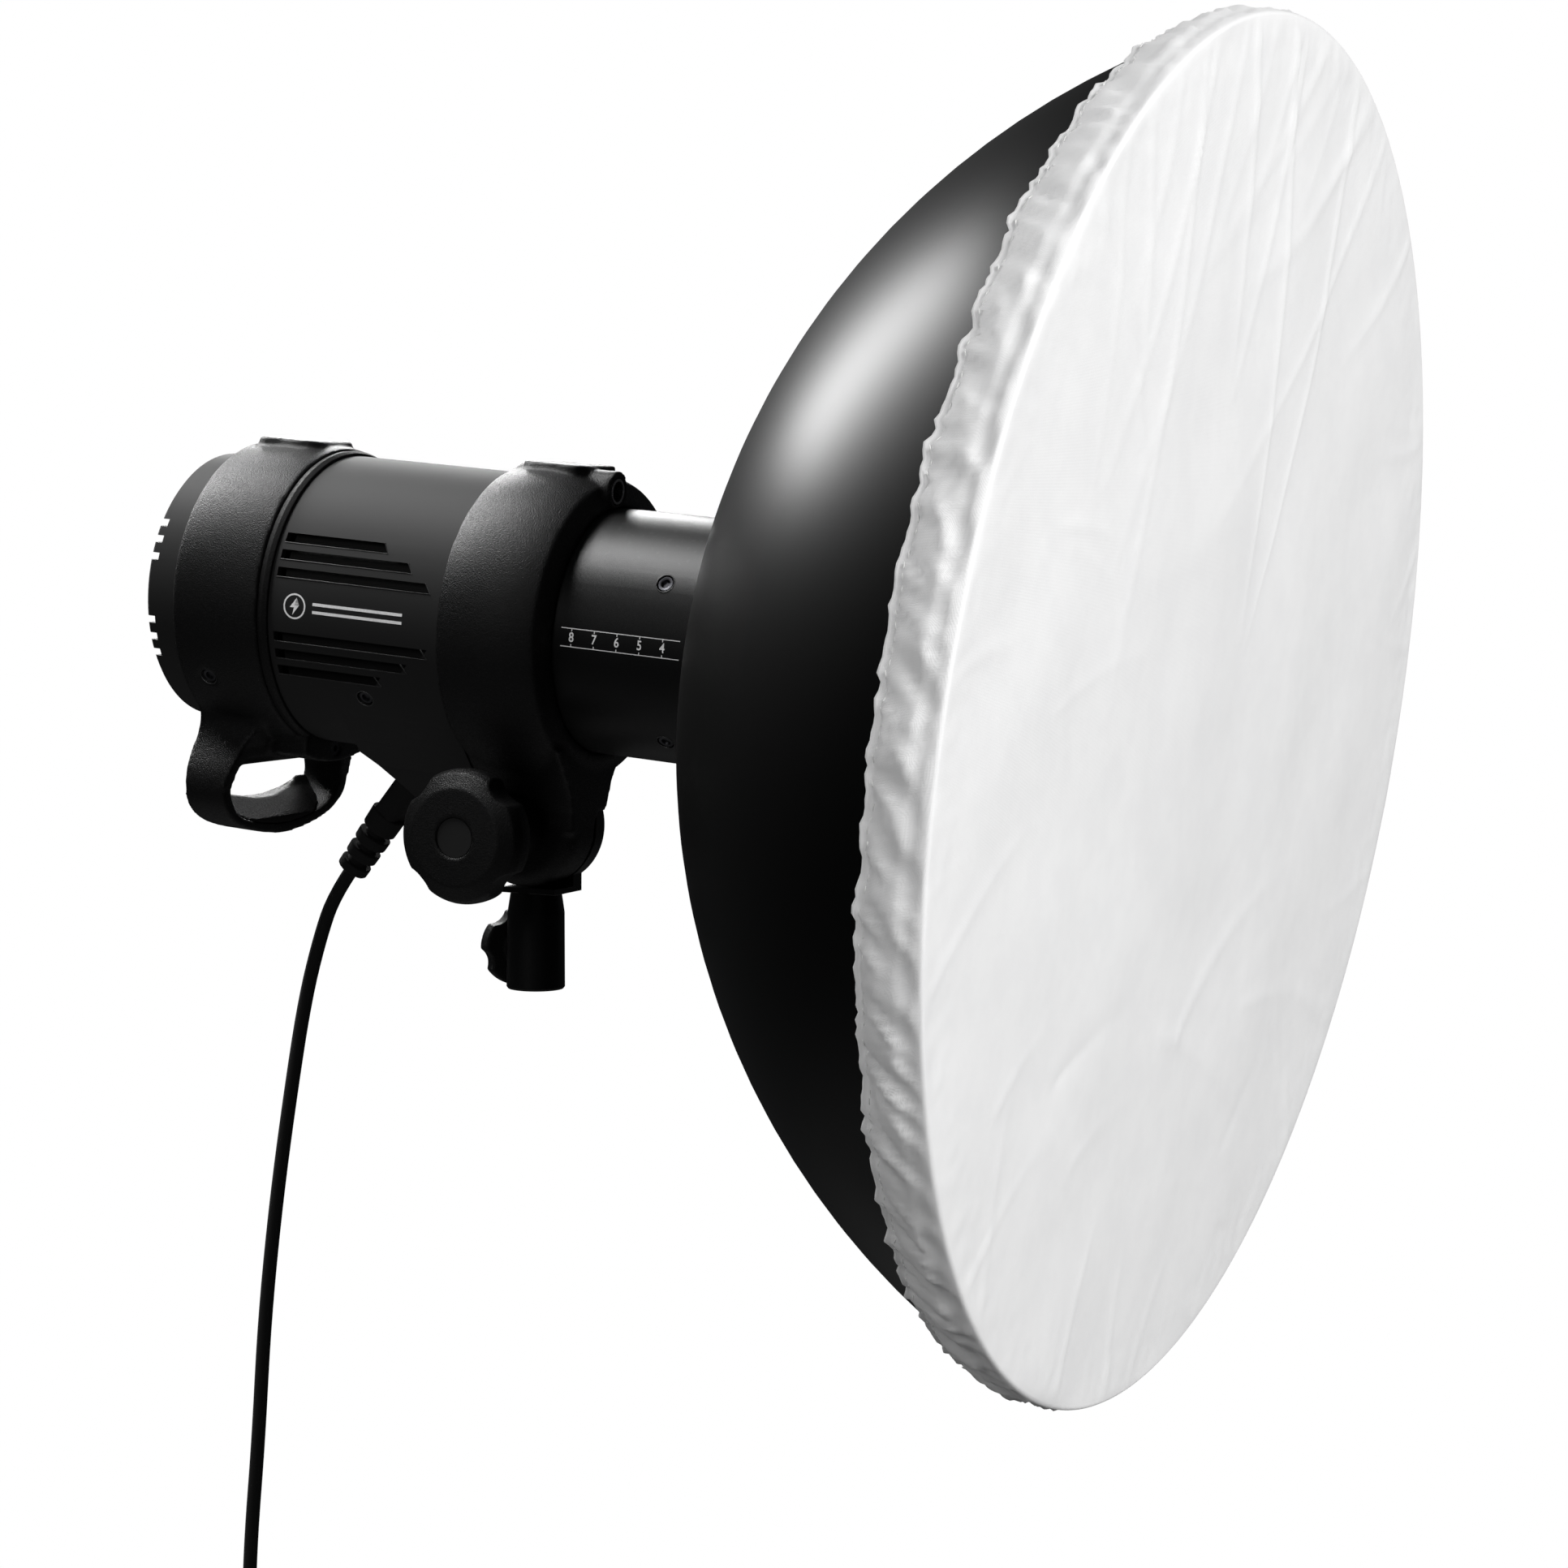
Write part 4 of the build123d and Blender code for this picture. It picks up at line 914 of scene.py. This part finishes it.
# ---- diffuser ----------------------------------------------------------------------------
@dataclass
class Diffuser:
    """Elastic cloth stretched over the bowl's mouth and gathered behind its rim."""

    radius: float = 259.4
    front: float = 283.8
    band: float = 25.0
    taper: float = 7.0
    corner: float = 1.8
    around: int = 600
    front_rows: int = 84
    bowl_radius: float = 271.5
    bowl_centre: float = 365.5
    deflector: float = 78.0
    seed: int = 11

    def rows(self) -> list[tuple[float, float, float]]:
        """(ahead, radius, share of the band) of each row of the cloth, centre to hem."""
        flat = self.radius - self.corner
        rows = [(self.front, flat * (i / self.front_rows) ** 0.92, 0.0) for i in range(1, self.front_rows + 1)]
        for i in range(1, 5):
            a = math.radians(22.5 * i)
            rows.append((self.front - self.corner * (1 - math.cos(a)), flat + self.corner * math.sin(a), 0.0))
        steps = 15
        for i in range(1, steps + 1):
            t = i / steps
            ahead = self.front - self.corner - t * (self.band - self.corner)
            groove = 1.2 * math.sin(math.pi * min(1.0, t / 0.35))
            rows.append((ahead, self.radius - self.taper * t ** 1.6 - groove, t))
        hem_ahead, hem_radius = self.front - self.band - 0.9, self.radius - self.taper - 0.2
        for i in range(1, 8):
            a = math.radians(-60 + 45 * i)
            rows.append((hem_ahead - 0.9 * math.sin(a), hem_radius + 0.9 * math.cos(a), 1.0))
        return rows

    def relief(self, x: np.ndarray, w: np.ndarray) -> np.ndarray:
        """Height of the stretched front's creases, in millimetres, at (across, above axis)."""
        pick = random.Random(self.seed)
        creases = []
        for i in range(17):
            start = math.radians(62 + 4.4 * i + pick.uniform(-3, 3))
            creases.append((start, 0.985, math.degrees(start) + 180 + pick.uniform(-44, 6),
                            pick.uniform(60, 230), pick.uniform(0.5, 1.2), pick.uniform(1.1, 2.4)))
        for _ in range(26):
            start = pick.uniform(0, 2 * math.pi)
            creases.append((start, 0.985, math.degrees(start) + 180 + pick.uniform(-38, 38),
                            pick.uniform(25, 95), pick.uniform(0.3, 0.9), pick.uniform(1.6, 3.2)))
        for _ in range(22):
            start = pick.uniform(math.radians(150), math.radians(320))
            creases.append((start, pick.uniform(0.35, 0.9), pick.uniform(-70, 40), pick.uniform(30, 110),
                            pick.uniform(-0.8, 0.9), pick.uniform(2.0, 4.2)))
        height = np.zeros_like(x)
        for start, share, heading, length, depth, width in creases:
            x0, w0 = self.radius * share * math.cos(start), self.radius * share * math.sin(start)
            a = math.radians(heading)
            along = (x - x0) * math.cos(a) + (w - w0) * math.sin(a)
            bow = 0.05 * length * np.sin(np.clip(along / length, 0, 1) * math.pi)
            off = -(x - x0) * math.sin(a) + (w - w0) * math.cos(a) - bow
            s = np.clip(along / length, 0, 1)
            fade = np.sqrt(np.clip(1 - s, 0, 1)) * np.clip((along + 6) / 8, 0, 1)
            spread = width * (0.7 + 0.9 * s)
            height += depth * fade * np.exp(-np.abs(off) / spread)
        return height

    def gathers(self, angle: float, share: float) -> tuple[float, float]:
        """Outward puff and backward shift of the band, in millimetres.

        Args:
            angle: angle round the rim.
            share: 0 at the front edge of the band, 1 at the hem.

        Returns:
            Radial and backward displacement.
        """
        slant = angle + 0.055 * share * (1 + noise.noise(Vector((math.cos(angle) * 3, math.sin(angle) * 3, 5.0))))
        c, s = math.cos(slant) * self.radius, math.sin(slant) * self.radius
        wide = noise.noise(Vector((c / 13.0, s / 13.0, share * 0.9)))
        mid = noise.noise(Vector((c / 6.2, s / 6.2, 3.0 + share * 1.6)))
        fine = noise.noise(Vector((c / 3.1, s / 3.1, 7.0 + share * 2.0)))
        swell = math.sin(math.pi * min(1.0, 0.12 + share * 0.8)) ** 0.8
        fold = 1.0 - 2.0 * abs(wide) ** 0.7
        puff = (0.9 + 2.0 * fold) * swell + 2.8 * mid * (0.25 + share) * swell + 1.5 * fine * (0.3 + share) * swell
        back = 1.3 * wide * share + 1.5 * mid * share ** 3 + 0.9 * fine * share ** 3
        return puff, back

    def build(self) -> bpy.types.Object:
        """Loft the cloth, crease it, gather its band, keep it clear of the bowl and paint the deflector's faint shadow
        on its front.
        """
        rows, n = self.rows(), self.around
        flat_rows = self.front_rows
        points = [(0.0, self.front, 0.0)]
        for ahead, radius, share in rows:
            for i in range(n):
                a = 2 * math.pi * i / n
                r, u = radius, ahead
                if share > 0:
                    puff, back = self.gathers(a, share)
                    r, u = radius + puff, ahead - back
                    inside = self.bowl_radius ** 2 - (self.bowl_centre - u) ** 2
                    r = max(r, math.sqrt(inside) + 0.9)
                points.append((r * math.cos(a), u, r * math.sin(a)))
        local = np.array(points)
        x, w = local[:, 0], local[:, 2]
        reach = np.hypot(x, w)
        on_front = np.zeros(len(local))
        on_front[:1 + flat_rows * n] = 1.0
        pucker = np.array([noise.noise(Vector((a * 0.14, b * 0.14, 2.0))) for a, b in zip(x, w)])
        drift = np.array([noise.noise(Vector((a * 0.017, b * 0.017, 9.0))) for a, b in zip(x, w)])
        near_rim = np.clip((reach - 225) / 34, 0, 1)
        ease = np.clip((self.radius - self.corner - reach) / 6, 0, 1)
        lift = self.relief(x, w) + 0.55 * pucker * near_rim + 1.3 * drift
        local[:, 1] += on_front * lift * (0.25 + 0.75 * ease)
        faces = [(0, 1 + i, 1 + (i + 1) % n) for i in range(n)]
        for row in range(len(rows) - 1):
            low, high = 1 + row * n, 1 + (row + 1) * n
            faces += [(low + i, high + i, high + (i + 1) % n, low + (i + 1) % n) for i in range(n)]
        placed = np.array([BOWL.at(a, u, AXIS_HEIGHT + b) for a, u, b in local])
        piece = from_points("diffuser_cloth", placed, faces)
        # painted shadow of the deflector, darker within its radius, kept as the behind attribute
        shade = np.clip((self.deflector + 6 - reach) / 12, 0, 1) * 0.16 * on_front
        attribute = piece.data.attributes.new("behind", "FLOAT", "POINT")
        attribute.data.foreach_set("value", shade.astype(np.float32))
        self.face_out(piece)
        piece.data.shade_smooth()
        dress(piece, CLOTH.material())
        fit(piece, "reflector", "white_cloth", "diffuser_sock")
        self.seam = stitches = self.hem_stitches()
        return piece

    @staticmethod
    def face_out(piece: bpy.types.Object) -> None:
        """Point the cloth's faces away from the bowl."""
        first = piece.data.polygons[0]
        if first.normal.dot(BOWL.ahead) < 0:
            piece.data.flip_normals()

    def hem_stitches(self) -> bpy.types.Object:
        """Overlock stitches along the front edge of the hem, set by Geometry Nodes."""
        outline = [(0, -1.3), (0.16, -1.05), (0.22, 0), (0.16, 1.05), (0, 1.3)]
        pattern = lathe("stitch_pattern", outline, 6)
        places = []
        count = 420
        share = 0.93
        ahead = self.front - self.corner - share * (self.band - self.corner)
        for i in range(count):
            a = 2 * math.pi * i / count
            spots = []
            for b in (a, a + 0.008):
                puff, back = self.gathers(b, share)
                r = self.radius - self.taper * share ** 1.6 + puff + 0.1
                spots.append(BOWL.at(r * math.cos(b), ahead - back, AXIS_HEIGHT + r * math.sin(b)))
            places.append((spots[0], spots[1] - spots[0]))
        seam = smooth(repeated("hem_stitches", pattern, places, ENAMEL), 60)
        return fit(seam, "reflector", "white_cloth")


# ---- mains lead --------------------------------------------------------------------------
@dataclass
class MainsLead:
    """Free mains lead: it hangs from the strain relief, and its spare length is a tied coil."""

    diameter: float = 6.0
    route: tuple[tuple[float, float, float], ...] = (
        (0, 88.7, 44.0), (0, 97.9, 31.8), (0, 104.6, 14.5), (0, 112.2, -12.0), (0, 119.4, -51.5),
        (0, 127.2, -101.0), (0, 133.4, -154.5), (0, 136.6, -207.0), (0, 140.6, -250.0), (0, 142.0, -284.0),
        (0, 161.6, -304.4))
    tail: tuple[tuple[float, float, float], ...] = ((18.6, 241.9, -368.0), (18.6, 244.0, -386.0))
    columns: int = 4
    layers: int = 4
    pitch: float = 6.2
    outer: float = 45.3
    centre: tuple[float, float] = (196.0, -349.7)
    per_turn: int = 20
    change: float = 0.16
    sides: int = 14

    def ring(self, index: int) -> tuple[float, float]:
        """Across position and radius of one turn of the coil."""
        column, layer = divmod(index, self.layers)
        inward = layer if column % 2 == 0 else self.layers - 1 - layer
        return column * self.pitch, self.outer - inward * self.pitch

    def coil(self) -> list[tuple[float, float, float]]:
        """Points of the coil's turns, from the top of the first to the side of the last."""
        turns = self.columns * self.layers
        stretch = 1 / math.cos(math.pi / self.per_turn)
        points = []
        total = turns * self.per_turn + self.per_turn // 4
        for i in range(total + 1):
            t = i / self.per_turn
            index = min(int(t), turns - 1)
            x, r = self.ring(index)
            late = (t - index - (1 - self.change)) / self.change
            if late > 0 and index < turns - 1:
                x1, r1 = self.ring(index + 1)
                ease = min(1.0, late)
                x, r = x + (x1 - x) * ease, r + (r1 - r) * ease
            a = math.pi / 2 - 2 * math.pi * t
            points.append((x, self.centre[0] + r * stretch * math.cos(a), self.centre[1] + r * stretch * math.sin(a)))
        return points

    def line(self) -> list[Vector]:
        """Centreline read from the route's NURBS spline, in metres."""
        points = [*self.route, *self.coil(), *self.tail]
        curve = bpy.data.curves.new("lead_line", "CURVE")
        curve.dimensions = "3D"
        curve.resolution_u = 5
        spline = curve.splines.new("NURBS")
        spline.points.add(len(points) - 1)
        for point, place in zip(spline.points, points):
            point.co = (*(c * MM for c in place), 1.0)
        spline.order_u = 3
        spline.use_endpoint_u = True
        holder = bpy.data.objects.new("lead_line", curve)
        bpy.context.scene.collection.objects.link(holder)
        wire = baked(holder, "lead_wire")
        line = [v.co.copy() for v in wire.data.vertices]
        bpy.data.objects.remove(wire)
        return line

    def tube(self, line: Sequence[Vector]) -> bpy.types.Object:
        """Round tube along a line, closed at both ends, with its frame carried along."""
        radius = self.diameter / 2 * MM
        shape = bmesh.new()
        side = Vector((1.0, 0.0, 0.0))
        rings = []
        for i, point in enumerate(line):
            along = (line[min(i + 1, len(line) - 1)] - line[max(i - 1, 0)]).normalized()
            side = (side - along * side.dot(along)).normalized()
            up = along.cross(side)
            rings.append([shape.verts.new(point + radius * (side * math.cos(2 * math.pi * k / self.sides)
                                                            + up * math.sin(2 * math.pi * k / self.sides)))
                          for k in range(self.sides)])
        for low, high in zip(rings, rings[1:]):
            for k in range(self.sides):
                j = (k + 1) % self.sides
                shape.faces.new([low[k], low[j], high[j], high[k]])
        shape.faces.new(rings[0])
        shape.faces.new(rings[-1])
        bmesh.ops.recalc_face_normals(shape, faces=shape.faces)
        mesh = bpy.data.meshes.new("mains_lead")
        shape.to_mesh(mesh)
        shape.free()
        return link("mains_lead", mesh)

    def build(self, plug: Iterable[object]) -> bpy.types.Object:
        """Args:
            plug: the separate pieces on the lead; not used.

        Returns:
            The lead's mesh.
        """
        line = self.line()
        lead = dress(smooth(self.tube(line), 60), CABLE.material())
        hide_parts("power_cord", "cord_coil", "cord_tail")
        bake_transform(lead)
        return lead


# ---- light, floor and camera -------------------------------------------------------------
@dataclass
class Studio:
    """Pale floor, soft lights and the camera."""

    floor_height: float = -1.25
    camera_at: tuple[float, float, float] = (-1.25034, -0.71288, 0.21167)
    camera_turn: tuple[float, float, float] = (84.957, -0.6085, -64.279)
    lens: float = 81.06

    def __post_init__(self) -> None:
        """Make the collections of pieces that the front lights and the head's lights reach."""
        self.pale_only = bpy.data.collections.new("front_lights_reach")
        self.head_only = bpy.data.collections.new("head_lights_reach")

    def camera(self) -> None:
        """Create the camera and make it the scene's."""
        data = bpy.data.cameras.new("camera")
        data.lens = self.lens
        data.sensor_width = 36.0
        data.clip_end = 60.0
        camera = bpy.data.objects.new("camera", data)
        bpy.context.scene.collection.objects.link(camera)
        camera.location = self.camera_at
        camera.rotation_euler = [math.radians(a) for a in self.camera_turn]
        bpy.context.scene.camera = camera

    def floor(self) -> None:
        """A wide pale floor that reads as plain white."""
        shape = bmesh.new()
        bmesh.ops.create_grid(shape, x_segments=4, y_segments=4, size=20.0)
        mesh = bpy.data.meshes.new("floor")
        shape.to_mesh(mesh)
        shape.free()
        mesh.transform(Matrix.Translation((0.0, 0.0, self.floor_height)))
        material = bpy.data.materials.new("pale_floor")
        material.use_nodes = True
        tree = material.node_tree
        shader, output = tree.nodes["Principled BSDF"], tree.nodes["Material Output"]
        shader.inputs["Base Color"].default_value = (0.55, 0.55, 0.55, 1.0)
        shader.inputs["Roughness"].default_value = 0.9
        glow, path, mix = (tree.nodes.new(f"ShaderNode{kind}") for kind in ("Emission", "LightPath", "MixShader"))
        tree.links.new(path.outputs["Is Camera Ray"], mix.inputs[0])
        tree.links.new(shader.outputs[0], mix.inputs[1])
        tree.links.new(glow.outputs[0], mix.inputs[2])
        tree.links.new(mix.outputs[0], output.inputs["Surface"])
        dress(link("floor", mesh), material)

    def world(self) -> None:
        """White surround for the camera, dim for what it lights."""
        world = bpy.data.worlds.new("studio")
        bpy.context.scene.world = world
        world.use_nodes = True
        tree = world.node_tree
        shown, path = tree.nodes["Background"], tree.nodes.new("ShaderNodeLightPath")
        mix, dim = tree.nodes.new("ShaderNodeMixShader"), tree.nodes.new("ShaderNodeBackground")
        shown.inputs["Color"].default_value = (1.0, 1.0, 1.0, 1.0)
        dim.inputs["Color"].default_value = (0.95, 0.97, 1.0, 1.0)
        dim.inputs["Strength"].default_value = 0.03
        tree.links.new(path.outputs["Is Camera Ray"], mix.inputs[0])
        tree.links.new(dim.outputs[0], mix.inputs[1])
        tree.links.new(shown.outputs[0], mix.inputs[2])
        tree.links.new(mix.outputs[0], tree.nodes["World Output"].inputs["Surface"])

    @staticmethod
    def softbox(name: str, place: Vector, aim: Vector, size: tuple[float, float], power: float) -> bpy.types.Object:
        """A rectangular area light that faces a point; returns it."""
        data = bpy.data.lights.new(name, "AREA")
        data.shape = "RECTANGLE"
        data.size, data.size_y = size
        data.energy = power
        light = bpy.data.objects.new(name, data)
        bpy.context.scene.collection.objects.link(light)
        light.location = place
        light.rotation_euler = (aim - place).to_track_quat("-Z", "Y").to_euler()
        return light

    def lights(self) -> None:
        """Soft boxes behind, overhead and in front, as in a small studio."""
        bowl = BOWL.at(-180.0, 170.0, AXIS_HEIGHT + 120.0)
        body = HEAD.at(0.0, -60.0, AXIS_HEIGHT)
        cloth = BOWL.at(0.0, 284.0, AXIS_HEIGHT)
        self.softbox("back_box", bowl + Vector((0.33, 0.82, 0.47)) * 1.7, bowl, (0.4, 0.72), 16.0)
        top = self.softbox("top_box", body + Vector((-0.12, 0.46, 0.88)) * 1.5, body, (0.8, 0.4), 19.0)
        rim = self.softbox("rim_box", body + Vector((0.76, 0.48, 0.44)) * 1.6, body, (0.5, 0.4), 12.0)
        self.softbox("side_fill", body + Vector((-0.95, 0.02, 0.3)) * 1.8, body, (0.5, 0.5), 1.6)
        front = self.softbox("front_box", cloth + Vector((-0.25, -0.9, 0.35)) * 2.2, cloth, (2.0, 2.0), 70.0)
        band = self.softbox("band_box", cloth + Vector((-0.95, 0.05, 0.3)) * 1.9, cloth, (1.0, 1.0), 11.0)
        for light in (front, band):
            light.light_linking.receiver_collection = self.pale_only
        for light in (rim, top):
            light.light_linking.receiver_collection = self.head_only
        view = bpy.context.scene.view_settings
        view.view_transform = "Standard"
        view.look = "None"

    def build(self) -> None:
        """Set up everything that isn't the object."""
        self.camera()
        self.world()
        self.floor()
        self.lights()


def main() -> None:
    studio = Studio()
    studio.build()
    dress_frame()
    made = {moulding.node: moulding.build() for moulding in MOULDINGS}
    lead = MainsLead()
    lead.build([made["mains_plug"], made["coil_tie"], frame["nodes"]["plug_pins"]])
    for group in SCREW_SETS:
        group.build()
    pale = [ScrewRings(SCREW_SETS).build(), FocusScale().build(), *HousingMark().build(), VentLips().build()]
    head_pieces = [piece for piece in bpy.context.scene.objects if piece.type == "MESH" and piece.name not in BOWL_NODES]
    for piece in head_pieces:
        studio.head_only.objects.link(piece)
    cloth = Diffuser()
    for piece in (cloth.build(), cloth.seam, *pale):
        studio.pale_only.objects.link(piece)


if __name__ == "__main__":
    main()
